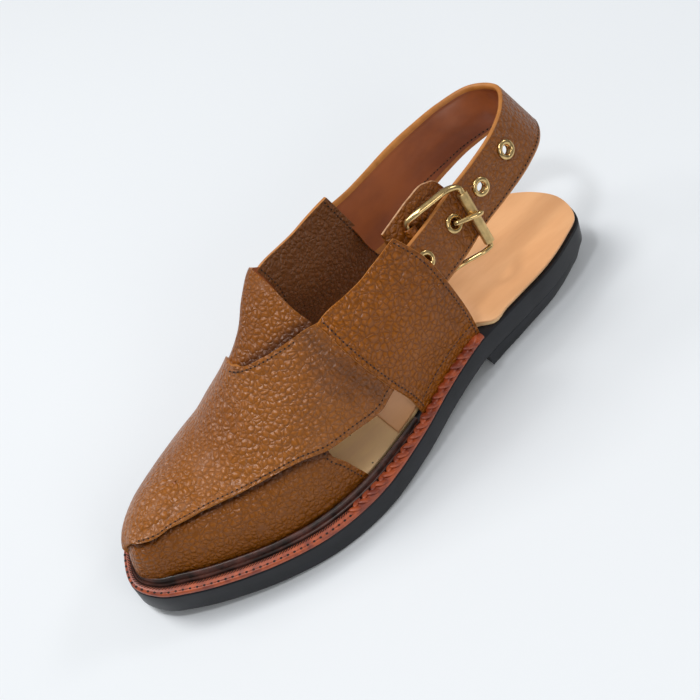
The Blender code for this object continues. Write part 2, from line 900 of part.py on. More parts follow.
def build_eyelets(strap, parts, cutters):
    """Eyelets through the heel strap, and the holes that they stand in."""
    thick = STRAP_THICK / 2
    lip = thick + EYELET_GAP + EYELET_LIP
    profile = (
        (EYELET_HOLE, -lip + 0.0002),
        (EYELET_FLANGE - 0.0009, -lip),
        (EYELET_FLANGE, -thick - EYELET_GAP),
        (EYELET_BARREL, -thick - EYELET_GAP),
        (EYELET_BARREL, thick + EYELET_GAP),
        (EYELET_FLANGE, thick + EYELET_GAP),
        (EYELET_FLANGE - 0.0009, lip),
        (EYELET_HOLE, lip - 0.0002),
    )
    hole = (
        (0.0, -0.004),
        (EYELET_BARREL + GAP, -0.004),
        (EYELET_BARREL + GAP, 0.004),
        (0.0, 0.004),
    )
    for number, at in enumerate(EYELETS_AT, 1):
        eyelet = across_strap(f"eyelet_{number}", profile, at, "brass", parts)
        smooth(eyelet, 40)
        cutter = across_strap(f"hole_{number}", hole, at, "brass", cutters)
        cutter.hide_render = True
        cutter.display_type = "WIRE"
        cut = strap.modifiers.new("hole", "BOOLEAN")
        cut.operation = "DIFFERENCE"
        cut.solver = "EXACT"
        cut.object = cutter
    apply_modifiers(strap)
    smooth(strap)


def wire(name, path, radius, closed, collection):
    """A round wire along a path of points, with filled ends."""
    curve = bpy.data.curves.new(name, "CURVE")
    curve.dimensions = "3D"
    curve.bevel_depth = radius
    curve.bevel_resolution = 2
    curve.use_fill_caps = True
    spline = curve.splines.new("POLY")
    spline.points.add(len(path) - 1)
    for point, place_at in zip(spline.points, path):
        point.co = (*place_at, 1)
    spline.use_cyclic_u = closed
    guide = bpy.data.objects.new(name + "_path", curve)
    collection.objects.link(guide)
    bpy.context.view_layer.update()
    graph = bpy.context.evaluated_depsgraph_get()
    mesh = bpy.data.meshes.new_from_object(guide.evaluated_get(graph))
    work = bmesh.new()
    work.from_mesh(mesh)
    bmesh.ops.remove_doubles(work, verts=work.verts, dist=0.00002)
    bmesh.ops.recalc_face_normals(work, faces=work.faces)
    work.to_mesh(mesh)
    work.free()
    bpy.data.objects.remove(guide)
    mesh.name = name
    mesh.materials.clear()
    mesh.materials.append(material("brass"))
    obj = bpy.data.objects.new(name, mesh)
    collection.objects.link(obj)
    smooth(obj, 45)
    return obj


def rounded(corners, steps, closed):
    """A path through (corner, radius) pairs, turned smoothly at each corner."""
    path = []
    last = len(corners) - 1
    for k, (corner, radius) in enumerate(corners):
        if not closed and k in (0, last):
            path.append(corner)
            continue
        before = corners[k - 1][0] - corner
        after = corners[(k + 1) % (last + 1)][0] - corner
        cut_in = corner + before / np.linalg.norm(before) * radius
        cut_out = corner + after / np.linalg.norm(after) * radius
        for u in np.linspace(0, 1, steps):
            path.append(cut_in * (1 - u) ** 2 + 2 * corner * u * (1 - u) + cut_out * u * u)
    return path


def buckle_point(ahead, along, outward):
    """A point by its distance ahead of the roller, along it, and outwards."""
    turn = np.radians(BUCKLE_TURN)
    forward = ahead * np.cos(turn) + along * np.sin(turn)
    across = along * np.cos(turn) - ahead * np.sin(turn)
    return strap_point(ROLLER_AT + forward, ROLLER_ACROSS + across, outward)


ROLLER_OUT = STRAP_THICK / 2 + GAP + ROLLER_OUTER
BAR_OUT = -STRAP_THICK / 2 - GAP - CHAPE_SKIN - LOOP_SLACK - WIRE
FLAP_OUT = BAR_OUT - WIRE - GAP


def build_frame(parts):
    half = FRAME_HALF
    far = FRAME_LONG
    high = ROLLER_OUT
    corners = (
        (buckle_point(0, -half, high), 0.0019),
        (buckle_point(0, half, high), 0.0019),
        (buckle_point(0.005, half, high - 0.001), 0.0015),
        (buckle_point(0.016, half, BAR_OUT), 0.0040),
        (buckle_point(far, half, BAR_OUT), 0.0030),
        (buckle_point(far, -half, BAR_OUT), 0.0030),
        (buckle_point(0.022, -half, BAR_OUT + 0.0006), 0.0022),
        (buckle_point(0.014, -half, high - 0.0006), 0.0030),
    )
    wire("buckle_frame", rounded(corners, 5, True), WIRE, True, parts)


def build_roller(parts):
    end = ROLLER_LONG / 2
    profile = (
        (ROLLER_INNER, -end),
        (ROLLER_OUTER, -end),
        (ROLLER_OUTER, end),
        (ROLLER_INNER, end),
    )
    middle = (buckle_point(0, end, ROLLER_OUT) + buckle_point(0, -end, ROLLER_OUT)) / 2
    spin = buckle_point(0, end, ROLLER_OUT) - middle
    spin /= np.linalg.norm(spin)
    side = buckle_point(0.01, 0, ROLLER_OUT) - middle
    side -= spin * (side @ spin)
    side /= np.linalg.norm(side)
    smooth(turned("buckle_roller", profile, middle, spin, side, "brass", parts), 40)


def build_prong(parts):
    turn = np.radians(BUCKLE_TURN)
    forward = EYELETS_AT[2] - ROLLER_AT
    across = EYELET_ACROSS - ROLLER_ACROSS
    ahead = forward * np.cos(turn) - across * np.sin(turn)
    along = forward * np.sin(turn) + across * np.cos(turn)
    over = ROLLER_OUT + ROLLER_OUTER + PRONG + 2.5 * GAP
    end = FRAME_LONG - WIRE - PRONG - GAP
    path = (
        (buckle_point(end, along, BAR_OUT), 0.001),
        (buckle_point(ahead + 0.0036, along, BAR_OUT), 0.0020),
        (buckle_point(ahead + 0.0002, along, -0.0036), 0.0008),
        (buckle_point(ahead - 0.0002, along, 0.0032), 0.0008),
        (buckle_point(0.0036, along + 0.0008, over - 0.0012), 0.0022),
        (buckle_point(0.0, along + 0.0014, over), 0.0018),
        (buckle_point(-0.0030, along + 0.0018, over - 0.0010), 0.001),
    )
    wire("buckle_prong", rounded(path, 4, False), PRONG, False, parts)


def build_chape(parts):
    """The flap behind the buckle, with two loops round the frame's bar."""
    rows = np.array(CHAPE)
    ahead = np.linspace(rows[0, 0], rows[-1, 0], 22)
    upper = cubic(rows[:, 0], rows[:, 1], ahead)
    lower = cubic(rows[:, 0], rows[:, 2], ahead)
    outer = FLAP_OUT
    inner = FLAP_OUT - CHAPE_SKIN
    share = np.linspace(0, 1, 5)
    points = []
    for e, u, v in zip(ahead, upper, lower):
        points += [buckle_point(e, u + (v - u) * k, outer) for k in share]
        points += [buckle_point(e, v + (u - v) * k, inner) for k in share]
    size = 2 * len(share)
    faces = [tuple(range(size)), tuple(range(len(points) - size, len(points)))]
    for k in range(len(ahead) - 1):
        for j in range(size):
            a = k * size + j
            b = k * size + (j + 1) % size
            faces.append((a, b, b + size, a + size))
    chape = new_object("buckle_chape", points, faces, "grained_leather", parts)
    profile_in = WIRE + LOOP_SLACK
    profile_out = profile_in + CHAPE_SKIN
    loops = []
    for start, run in CHAPE_LOOPS:
        low = buckle_point(FRAME_LONG, start, BAR_OUT)
        spin = buckle_point(FRAME_LONG, start + run, BAR_OUT) - low
        spin /= np.linalg.norm(spin)
        side = buckle_point(0, start, BAR_OUT) - low
        side -= spin * (side @ spin)
        side /= np.linalg.norm(side)
        profile = (
            (profile_in, 0.0),
            (profile_out, 0.0),
            (profile_out, run),
            (profile_in, run),
        )
        loop = turned("loop", profile, low, spin, side, "grained_leather", parts, 16)
        loops.append(loop)
        join = chape.modifiers.new("join", "BOOLEAN")
        join.operation = "UNION"
        join.solver = "EXACT"
        join.object = loop
    apply_modifiers(chape)
    for loop in loops:
        bpy.data.objects.remove(loop)
    smooth(chape)


def main():
    for old in list(bpy.data.objects):
        bpy.data.objects.remove(old)
    scene = bpy.context.scene.collection
    parts = bpy.data.collections.new("chappal")
    cutters = bpy.data.collections.new("cutters")
    scene.children.link(parts)
    scene.children.link(cutters)
    build_outsole(parts)
    build_heel_lift(parts)
    build_insole(parts)
    build_heel_sock(parts)
    band("welt", WELT_START, WELT_END, welt_section, "welt_leather", parts)
    band("rand", RAND_START, RAND_END, rand_section, "rand_leather", parts)
    build_upper(parts)
    strap = build_heel_strap(parts)
    trim_strap(strap, cutters)
    build_eyelets(strap, parts, cutters)
    build_frame(parts)
    build_roller(parts)
    build_prong(parts)
    build_chape(parts)


main()
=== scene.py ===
# Looks of the left chappal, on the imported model. Metres, +Z up, toe towards -Y.
# Reach is the way round the upper's foot line from the toe (lateral positive),
# girth the share of the way from the foot (0) to the crown (1).

import bmesh
import bpy
import numpy as np
from mathutils import Matrix


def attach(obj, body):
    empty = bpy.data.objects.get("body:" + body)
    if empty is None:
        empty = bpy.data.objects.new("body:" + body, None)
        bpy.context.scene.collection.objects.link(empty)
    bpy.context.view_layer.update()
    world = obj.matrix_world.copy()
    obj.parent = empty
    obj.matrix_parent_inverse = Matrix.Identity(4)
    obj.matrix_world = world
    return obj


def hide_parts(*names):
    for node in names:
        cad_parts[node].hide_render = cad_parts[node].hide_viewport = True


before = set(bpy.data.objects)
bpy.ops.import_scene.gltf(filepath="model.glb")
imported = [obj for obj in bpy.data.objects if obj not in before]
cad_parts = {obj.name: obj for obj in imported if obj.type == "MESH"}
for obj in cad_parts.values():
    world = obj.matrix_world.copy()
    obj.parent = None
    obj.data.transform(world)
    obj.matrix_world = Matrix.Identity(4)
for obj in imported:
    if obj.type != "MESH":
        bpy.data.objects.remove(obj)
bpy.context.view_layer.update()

# Driving sizes.
LENGTH = 0.290
BALL_WIDTH = 0.104
INSTEP = 0.100
HEEL_CENTRE = 0.045

# Sole stack.
OUTSOLE = 0.0137
ARCH = 0.0111
SPRING = 0.0056
EDGE_ROUND = 0.0009
HEEL_BREAST = 0.088
HEEL_TAPER = 0.0030
BREAST_SLANT = 0.0025
HEEL_INSET = 0.0006
HEEL_FLARE = 0.0006
INSOLE = 0.0022
SOCK = 0.0012
SOCK_FRONT = 0.150
SOCK_INSET = 0.0003
HEEL_EDGE = 0.0011
INSIDE_WALL = 0.0024

# Leather and trim.
UNDER_SKIN = 0.0016
OVER_SKIN = 0.0023
STRAP_SKIN = 0.0025
UNDER_OUT = -0.0002
OVER_OUT = 0.0012
LATERAL_OUT = 0.0030
MEDIAL_OUT = 0.0016
MARGIN = 0.0105
FOOT_RISE = 0.0005
WELT = 0.0024
WELT_IN = 0.48
WELT_OUT = 0.04
WELT_START = 0.300
WELT_END = 0.320
RAND_HIGH = 0.0050
RAND_OUT = 0.54
RAND_START = 0.475
RAND_END = 0.460
STRAP_WIDTH = 0.028
STRAP_THICK = 0.0024

# Buckle and eyelets, set out along the heel strap's middle line.
ROLLER_AT = 0.186
ROLLER_ACROSS = 0.0040
BUCKLE_TURN = 14.0
EYELETS_AT = (0.150, 0.172, 0.195, 0.218)
EYELET_ACROSS = -0.002
EYELET_HOLE = 0.0024
EYELET_BARREL = 0.0031
EYELET_FLANGE = 0.0050
EYELET_LIP = 0.0007
ROLLER_LONG = 0.0290
ROLLER_OUTER = 0.0027
ROLLER_INNER = 0.0017
WIRE = 0.0013
FRAME_LONG = 0.0290
FRAME_HALF = 0.0168
PRONG = 0.0012
CHAPE_SKIN = 0.0013
CHAPE_LOOPS = ((-0.0140, 0.0090), (0.0083, 0.0045))

# Clearances.
GAP = 0.0003
LOOP_SLACK = 0.0006
EYELET_GAP = 0.0006

# Outline of the sole: station, lateral and medial share of BALL_WIDTH.
OUTLINE = (
    (0.00, 0.000, 0.000),
    (0.02, 0.173, -0.137),
    (0.06, 0.223, -0.243),
    (0.12, 0.270, -0.317),
    (0.20, 0.294, -0.331),
    (0.30, 0.318, -0.305),
    (0.40, 0.370, -0.290),
    (0.50, 0.448, -0.340),
    (0.60, 0.503, -0.434),
    (0.70, 0.499, -0.498),
    (0.80, 0.429, -0.474),
    (0.88, 0.330, -0.388),
    (0.94, 0.232, -0.279),
    (0.98, 0.141, -0.149),
    (1.00, 0.0125, 0.0125),
)

# Underside of the outsole: station, share of ARCH, share of SPRING.
BOTTOM = (
    (0.31, 1.00, 0.0),
    (0.35, 0.84, 0.0),
    (0.45, 0.42, 0.0),
    (0.55, 0.14, 0.0),
    (0.64, 0.00, 0.0),
    (0.72, 0.00, 0.0),
    (0.80, 0.00, 0.2),
    (0.90, 0.00, 0.5),
    (1.00, 0.00, 1.0),
)

# Sole's edge to the upper's foot: station, lateral and medial share of MARGIN.
MARGINS = (
    (0.00, 0.30, 0.30),
    (0.26, 0.60, 0.55),
    (0.47, 0.74, 0.60),
    (0.55, 0.93, 0.58),
    (0.80, 1.00, 0.50),
    (0.90, 1.00, 0.48),
    (0.96, 0.95, 0.52),
    (1.00, 0.68, 0.68),
)

# How far the insole has turned in from the sole's edge to the inside of the
# upper's walls: station, lateral share, medial share.
INSOLE_TURN = (
    (0.000, 0.0, 0.0),
    (0.200, 0.0, 0.0),
    (0.235, 0.0, 1.0),
    (0.268, 0.0, 1.0),
    (0.295, 1.0, 1.0),
    (0.330, 1.0, 1.0),
    (1.000, 1.0, 1.0),
)

# Sections of the last above the foot line. Foot station, crown station,
# crown's share of BALL_WIDTH sideways, crown's share of INSTEP, fullness.
LATERAL = (
    (0.260, 0.310, -0.19, 0.98, 2.0),
    (0.400, 0.445, -0.20, 1.00, 2.0),
    (0.500, 0.555, -0.27, 1.00, 2.0),
    (0.580, 0.620, -0.20, 0.85, 2.1),
    (0.660, 0.685, -0.14, 0.69, 2.2),
    (0.750, 0.750, -0.10, 0.56, 2.3),
    (0.850, 0.800, -0.07, 0.50, 2.4),
    (0.965, 0.840, -0.05, 0.50, 2.7),
)
MEDIAL = (
    (0.160, 0.290, -0.42, 0.99, 1.3),
    (0.240, 0.360, -0.43, 0.99, 1.3),
    (0.340, 0.450, -0.44, 0.99, 1.3),
    (0.430, 0.535, -0.40, 0.985, 1.4),
    (0.520, 0.585, -0.30, 0.93, 1.7),
    (0.590, 0.630, -0.19, 0.83, 1.9),
    (0.660, 0.685, -0.14, 0.69, 1.9),
    (0.750, 0.750, -0.10, 0.56, 1.85),
    (0.850, 0.800, -0.07, 0.50, 2.0),
    (0.965, 0.840, -0.05, 0.50, 2.7),
)

# Edges of the panels. Girth is the share of the way from the foot (0) to the
# crown (1); reach is a share of LENGTH along the foot line from the toe.
UNDER_LATERAL_REAR = (
    (0.00, 0.419),
    (0.17, 0.398),
    (0.33, 0.386),
    (0.45, 0.430),
    (0.55, 0.482),
    (0.63, 0.514),
    (0.70, 0.509),
    (0.82, 0.515),
    (0.91, 0.530),
    (1.00, 0.540),
)
UNDER_MEDIAL_REAR = (
    (0.00, 0.431),
    (0.43, 0.409),
    (0.48, 0.448),
    (0.55, 0.569),
    (0.62, 0.628),
    (0.70, 0.636),
    (0.76, 0.622),
    (0.80, 0.607),
    (0.87, 0.606),
    (1.00, 0.629),
)
# Over panel's lower edge on the lateral side and rear edge: reach, girth.
OVER_FRONT = (
    (0.000, 0.455),
    (0.020, 0.495),
    (0.067, 0.575),
    (0.137, 0.612),
    (0.248, 0.550),
    (0.340, 0.425),
    (0.386, 0.332),
    (0.433, 0.275),
    (0.493, 0.211),
    (0.545, 0.218),
)
OVER_REAR = (
    (0.389, 1.000),
    (0.395, 0.948),
    (0.422, 0.839),
    (0.451, 0.762),
    (0.487, 0.683),
    (0.517, 0.630),
    (0.545, 0.600),
)
OVER_TOE = (
    (0.000, 0.455),
    (0.020, 0.330),
    (0.034, 0.190),
    (0.044, 0.020),
    (0.050, 0.000),
)
# Side straps: girth share of the strap's top edge, front reach, rear reach.
LATERAL_STRAP = (
    (0.00, 0.554, 0.724),
    (0.17, 0.545, 0.722),
    (0.43, 0.523, 0.718),
    (0.75, 0.510, 0.715),
    (1.00, 0.513, 0.702),
)
MEDIAL_STRAP = (
    (0.00, 0.530, 0.775),
    (0.50, 0.540, 0.768),
    (0.75, 0.580, 0.782),
    (1.00, 0.603, 0.803),
)
# Top edge of a side strap: share of the way from front to rear, girth.
LATERAL_TOP = (
    (0.00, 0.630),
    (0.33, 0.630),
    (0.66, 0.655),
    (1.00, 0.686),
)
MEDIAL_TOP = (
    (0.00, 0.782),
    (0.50, 0.755),
    (1.00, 0.804),
)

# Heel strap's middle line: share of BALL_WIDTH sideways, station, share of
# INSTEP upwards, and the sideways and forward lean of its lower edge.
HEEL_STRAP = (
    (-0.340, 0.345, 0.752, 0.50, -0.12),
    (-0.350, 0.310, 0.746, 0.51, -0.12),
    (-0.369, 0.268, 0.741, 0.53, -0.11),
    (-0.400, 0.204, 0.734, 0.54, -0.10),
    (-0.415, 0.140, 0.732, 0.54, -0.10),
    (-0.409, 0.077, 0.742, 0.52, -0.12),
    (-0.346, 0.020, 0.770, 0.50, -0.17),
    (-0.193, -0.003, 0.810, 0.49, -0.26),
    (-0.060, 0.030, 0.838, 0.49, -0.29),
    (0.012, 0.081, 0.830, 0.42, -0.26),
    (0.040, 0.140, 0.790, 0.38, -0.24),
    (0.060, 0.201, 0.757, 0.38, -0.21),
    (0.095, 0.260, 0.737, 0.45, -0.19),
    (0.119, 0.320, 0.716, 0.48, -0.16),
    (0.134, 0.350, 0.714, 0.46, -0.14),
    (0.141, 0.378, 0.716, 0.44, -0.13),
)
# Leather flap behind the buckle, in metres from the roller's middle: forward
# along the frame, upper edge and lower edge along the roller.
CHAPE = (
    (0.0005, -0.0160, -0.0020),
    (0.0030, -0.0220, 0.0040),
    (0.0080, -0.0255, 0.0080),
    (0.0200, -0.0250, 0.0100),
    (0.0310, -0.0220, 0.0100),
    (0.0420, -0.0185, 0.0100),
)


OUTLINE_POINTS = 1440


def cubic(xs, ys, x):
    """Smooth curve through the points of a table, flat-ended past them."""
    xs = np.asarray(xs, float)
    ys = np.asarray(ys, float)
    x = np.clip(np.asarray(x, float), xs[0], xs[-1])
    h = np.diff(xs)
    d = np.diff(ys) / h
    m = np.empty_like(ys)
    m[0] = d[0]
    m[-1] = d[-1]
    m[1:-1] = (d[:-1] * h[1:] + d[1:] * h[:-1]) / (h[1:] + h[:-1])
    i = np.clip(np.searchsorted(xs, x, side="right") - 1, 0, len(xs) - 2)
    u = (x - xs[i]) / h[i]
    rise = u * u * (3 - 2 * u)
    bend_in = h[i] * m[i] * u * (1 - u) ** 2
    bend_out = h[i] * m[i + 1] * u * u * (u - 1)
    return ys[i] + (ys[i + 1] - ys[i]) * rise + bend_in + bend_out


def column(table, key, value, x):
    """A table's column, read at x of its key column."""
    rows = np.array(table)
    return cubic(rows[:, key], rows[:, value], x)


def outline_loop():
    """The sole's edge: heel's back, lateral side, toe, medial side."""
    rows = np.array(OUTLINE)
    t = np.concatenate([rows[:, 0], rows[-2:0:-1, 0]]) * LENGTH
    x = np.concatenate([rows[:, 1], rows[-2:0:-1, 2]]) * BALL_WIDTH
    k = 3
    tt = np.concatenate([t[-k:], t, t[: k + 1]])
    xx = np.concatenate([x[-k:], x, x[: k + 1]])
    d = np.concatenate([[0], np.cumsum(np.hypot(np.diff(tt), np.diff(xx)))])
    s = np.linspace(d[k], d[k + len(t)], OUTLINE_POINTS, endpoint=False)
    return cubic(d, xx, s), cubic(d, tt, s)


def inset_loop(inset):
    """The sole's edge moved inwards by inset."""
    x, t = outline_loop()
    dx = np.roll(x, -1) - np.roll(x, 1)
    dt = np.roll(t, -1) - np.roll(t, 1)
    run = np.hypot(dx, dt)
    return x - dt / run * inset, t + dx / run * inset


def margin():
    """Width from the sole's edge to the upper's foot, round the outline."""
    _, t = outline_loop()
    side = np.arange(len(t)) <= np.argmax(t)
    share = t / LENGTH
    lateral = column(MARGINS, 0, 1, share)
    medial = column(MARGINS, 0, 2, share)
    return np.where(side, lateral, medial) * MARGIN


def sole_bottom(t):
    share = t / LENGTH
    rise = column(BOTTOM, 0, 1, share) * ARCH + column(BOTTOM, 0, 2, share) * SPRING
    return np.maximum(rise, 0)


def sole_top(t):
    return sole_bottom(t) + OUTSOLE


def foot_loop():
    """The upper's foot line from the toe, medial side first, with its length."""
    x, t = inset_loop(margin())
    tip = int(np.argmax(t))
    x = np.append(np.roll(x, -tip), x[tip])
    t = np.append(np.roll(t, -tip), t[tip])
    return x, t, np.concatenate([[0], np.cumsum(np.hypot(np.diff(x), np.diff(t)))])


FOOT_X, FOOT_T, FOOT_RUN = foot_loop()


def foot(reach):
    """Point of the foot line at reach from the toe, lateral positive."""
    s = np.where(reach > 0, FOOT_RUN[-1] - reach, -reach)
    return np.interp(s, FOOT_RUN, FOOT_X), np.interp(s, FOOT_RUN, FOOT_T)


def wall(reach, girth):
    """Point (x, t, z) of the last's surface."""
    fx, ft = foot(reach)
    fz = sole_top(ft) + FOOT_RISE
    share = ft / LENGTH

    def crown(value):
        lateral = column(LATERAL, 0, value, share)
        return np.where(reach > 0, lateral, column(MEDIAL, 0, value, share))

    angle = girth * np.pi / 2
    full = 2 / crown(4)
    across = 1 - np.maximum(np.cos(angle), 0) ** full
    up = np.maximum(np.sin(angle), 0) ** full
    cx = crown(2) * BALL_WIDTH
    ct = crown(1) * LENGTH
    cz = crown(3) * INSTEP
    return np.stack([fx + (cx - fx) * across, ft + (ct - ft) * across, fz + (cz - fz) * up], -1)


def wall_out(reach, girth, out):
    """Point of the last's surface moved outwards by out."""
    reach = np.asarray(reach, float)
    girth = np.asarray(girth, float)
    step = 0.0001
    low = np.clip(girth - 0.001, 0.002, 1)
    high = np.clip(girth + 0.001, 0.003, 1)
    along = wall(reach + step, girth) - wall(reach - step, girth)
    up = wall(reach, high) - wall(reach, low)
    normal = np.cross(along, up)
    normal /= np.linalg.norm(normal, axis=-1, keepdims=True) + 1e-12
    normal *= np.where(normal[..., 2:] >= 0, 1, -1)
    return wall(reach, girth) + normal * np.asarray(out, float)[..., None]


def place(points):
    """From (x, t, z), t forward of the heel's back, to the part's frame."""
    points = np.asarray(points, float)
    return np.stack([points[..., 0], HEEL_CENTRE - points[..., 1], points[..., 2]], -1)


def stations(start, end, count):
    """Stations closer together towards both ends."""
    return start + (end - start) * (1 - np.cos(np.linspace(0, np.pi, count))) / 2


def sides_at(inset, share_run):
    """Lateral and medial points of the inset edge at shares of its length."""
    x, t = inset_loop(inset)
    heel = int(np.argmin(t))
    x = np.roll(x, -heel)
    t = np.roll(t, -heel)
    toe = int(np.argmax(t))
    at = t[0] + (t[toe] - t[0]) * share_run
    lateral = np.interp(at, np.maximum.accumulate(t[: toe + 1]), x[: toe + 1])
    back_t = np.append(t[toe:], t[0])[::-1]
    back_x = np.append(x[toe:], x[0])[::-1]
    medial = np.interp(at, np.maximum.accumulate(back_t), back_x)
    return at, lateral, medial


def sole_ring(inset, height, share_run):
    """A ring of the sole: inset from its edge, height a function of t."""
    t, lateral, medial = sides_at(inset, share_run)
    return t, lateral, medial, height(t)


def short_run(inset, end, steps):
    """Shares of the inset edge's length that stop at the station end."""
    share = stations(0, 2, 2 * steps)[:steps]
    _, t = inset_loop(inset)
    return share / share[-1] * (end - t.min()) / (t.max() - t.min())


def insole_inset():
    """Near the sole's edge at the heel, inside the upper's walls beyond it."""
    _, t = outline_loop()
    side = np.arange(len(t)) <= np.argmax(t)
    share = t / LENGTH
    lateral = column(INSOLE_TURN, 0, 1, share)
    turn = np.where(side, lateral, column(INSOLE_TURN, 0, 2, share))
    return HEEL_EDGE + (margin() + INSIDE_WALL - HEEL_EDGE) * turn


def crown_match(reach):
    """Medial reach whose crown station equals the lateral one's."""
    tried = np.linspace(0.0, 0.80 * LENGTH, 400)
    _, lateral_t = foot(tried)
    _, medial_t = foot(-tried)
    lateral = column(LATERAL, 0, 1, lateral_t / LENGTH)
    medial = column(MEDIAL, 0, 1, medial_t / LENGTH)
    wanted = np.interp(reach, tried, lateral)
    found = np.interp(-wanted, -medial, tried)
    ramp = np.clip(reach / (0.10 * LENGTH), 0, 1)
    return found * ramp + reach * (1 - ramp)


def heel_strap_frames(count):
    """Evenly spaced (point, forward, down, outward) along the middle line."""
    rows = np.array(HEEL_STRAP)
    mid = np.stack([rows[:, 0] * BALL_WIDTH, rows[:, 1] * LENGTH, rows[:, 2] * INSTEP], -1)
    d = np.concatenate([[0], np.cumsum(np.linalg.norm(np.diff(mid, axis=0), axis=1))])
    s = np.linspace(0, d[-1], count)
    line = np.stack([cubic(d, mid[:, k], s) for k in range(3)], -1)
    lean = np.stack([cubic(d, rows[:, k], s) for k in (3, 4)], -1)
    fall = -np.sqrt(1 - (lean**2).sum(-1, keepdims=True))
    down = np.concatenate([lean, fall], -1)
    ahead = np.gradient(line, axis=0)
    ahead /= np.linalg.norm(ahead, axis=-1, keepdims=True)
    out = np.cross(down, ahead)
    out /= np.linalg.norm(out, axis=-1, keepdims=True)
    return s, line, ahead, down, out


STRAP_FRAMES = heel_strap_frames(400)


def strap_axes(at):
    """Origin, forward, down and outward (x, t, z) at a place along the strap."""
    s = STRAP_FRAMES[0]
    found = []
    for values in STRAP_FRAMES[1:]:
        found.append(np.array([np.interp(at, s, values[:, k]) for k in range(3)]))
    line, _, down, out = found
    down /= np.linalg.norm(down)
    out -= down * (out @ down)
    out /= np.linalg.norm(out)
    return line, np.cross(out, down), down, out


def strap_point(at, across=0.0, outward=0.0):
    """A point in the part's frame, from a place along the heel strap."""
    line, _, down, out = strap_axes(at)
    return place(line + down * across + out * outward)


def rounded(corners, steps, closed):
    """A path through (corner, radius) pairs, turned smoothly at each corner."""
    path = []
    last = len(corners) - 1
    for k, (corner, radius) in enumerate(corners):
        if not closed and k in (0, last):
            path.append(corner)
            continue
        before = corners[k - 1][0] - corner
        after = corners[(k + 1) % (last + 1)][0] - corner
        cut_in = corner + before / np.linalg.norm(before) * radius
        cut_out = corner + after / np.linalg.norm(after) * radius
        for u in np.linspace(0, 1, steps):
            path.append(cut_in * (1 - u) ** 2 + 2 * corner * u * (1 - u) + cut_out * u * u)
    return path


def buckle_point(ahead, along, outward):
    """A point by its distance ahead of the roller, along it, and outwards."""
    turn = np.radians(BUCKLE_TURN)
    forward = ahead * np.cos(turn) + along * np.sin(turn)
    across = along * np.cos(turn) - ahead * np.sin(turn)
    return strap_point(ROLLER_AT + forward, ROLLER_ACROSS + across, outward)


# Radii of the frame's wire and of the prong, and heights of the roller, the
# pivot bar and the chape's flap from the strap's middle.
FRAME_THICK = 0.00165
FRAME_THIN = 0.00125
PRONG_THICK = 0.00140
ROLLER_OUT = STRAP_THICK / 2 + GAP + ROLLER_OUTER
BAR_OUT = -STRAP_THICK / 2 - GAP - CHAPE_SKIN - LOOP_SLACK - WIRE
FLAP_OUT = BAR_OUT - WIRE - GAP

# Counts for the visual meshes.
SECTIONS = 120
ROWS = 40
SOLE_RUN = 150
STRAP_RUN = 260

# Stitching.
PITCH = 0.0024
SEAM_IN = 0.0024
THREAD = 0.00030
HOLE = 0.00046
WELT_PITCH = 0.0034
SLIT_PITCH = 0.0015
SLIT = (0.0015, 0.00028, 0.00020)
SLIT_WAY = (0.82, 0.57)

# Braid at the waist: rows by share of the margin and lean, pitch of the
# leaves, their half sizes and way, and the step between the two rows.
BRAID_ROWS = ((0.50, 1), (0.27, -1))
BRAID_PITCH = 0.0056
BRAID_LEAF = (0.0042, 0.0018, 0.0007)
BRAID_WAY = (0.88, 0.47)
BRAID_TILT = 0.0005
BRAID_TAPER = (1.15, 0.75)

# Mean way over the wall from foot to crown, for widths given in metres.
GIRTH_RUN = 0.095

# Finishes: light and dark leather in linear colour.
TAN = (0.330, 0.104, 0.008)
TAN_DARK = (0.245, 0.071, 0.005)
# Painted shade colour for the grain's valleys and the creases; also the thread's dark tone.
TAN_GROOVE = (0.055, 0.013, 0.001)
# Painted shade: darker copies of the tan leather, for the under panel.
TAN_UNDER_SHADED = (0.275, 0.083, 0.005)
TAN_UNDER_SHADED_DARK = (0.205, 0.058, 0.004)
# Painted shade: darker copies of the tan leather, for the medial strap's shaded inner face.
TAN_INSIDE_SHADED = (0.205, 0.070, 0.015)
TAN_INSIDE_SHADED_DARK = (0.150, 0.048, 0.010)
TAN_STRAP = (0.335, 0.097, 0.003)
EDGE_TAN = (0.520, 0.200, 0.038)
EDGE_DARK = (0.420, 0.150, 0.024)
RAW_EDGE = (0.620, 0.360, 0.200)
RAW_DARK = (0.400, 0.200, 0.090)
THREAD_TAN = (0.260, 0.095, 0.022)
LINING = (0.360, 0.098, 0.026)
LINING_DARK = (0.200, 0.052, 0.018)
SOCK_TAN = (0.930, 0.510, 0.240)
SOCK_DARK = (0.820, 0.410, 0.180)
BOARD = (1.000, 0.700, 0.340)
BOARD_DARK = (0.860, 0.560, 0.300)
WELT_RED = (0.500, 0.090, 0.018)
WELT_DARK = (0.200, 0.030, 0.012)
RAND_BROWN = (0.130, 0.043, 0.030)
SOLE_BLACK = (0.0050, 0.0055, 0.0080)
BRASS = (0.820, 0.575, 0.255)
HOLE_BROWN = (0.012, 0.005, 0.003)
FLOOR = (0.815, 0.850, 0.885)
FLOOR_DARK = (0.800, 0.835, 0.870)
WORLD_LOW = (0.42, 0.44, 0.47)
WORLD_HIGH = (1.0, 1.0, 1.0)


def node(tree, kind, inputs=None, **settings):
    """A shader node; inputs are values, or sockets to link."""
    made = tree.nodes.new(kind)
    for key, value in settings.items():
        setattr(made, key, value)
    for key, value in (inputs or {}).items():
        if isinstance(value, bpy.types.NodeSocket):
            tree.links.new(value, made.inputs[key])
        else:
            made.inputs[key].default_value = value
    return made


def blank(name, rough, metal=0.0, coat=0.0, coat_rough=0.25):
    made = bpy.data.materials.new(name)
    made.use_nodes = True
    shader = made.node_tree.nodes["Principled BSDF"]
    shader.inputs["Roughness"].default_value = rough
    shader.inputs["Metallic"].default_value = metal
    shader.inputs["Coat Weight"].default_value = coat
    shader.inputs["Coat Roughness"].default_value = coat_rough
    return made, made.node_tree, shader


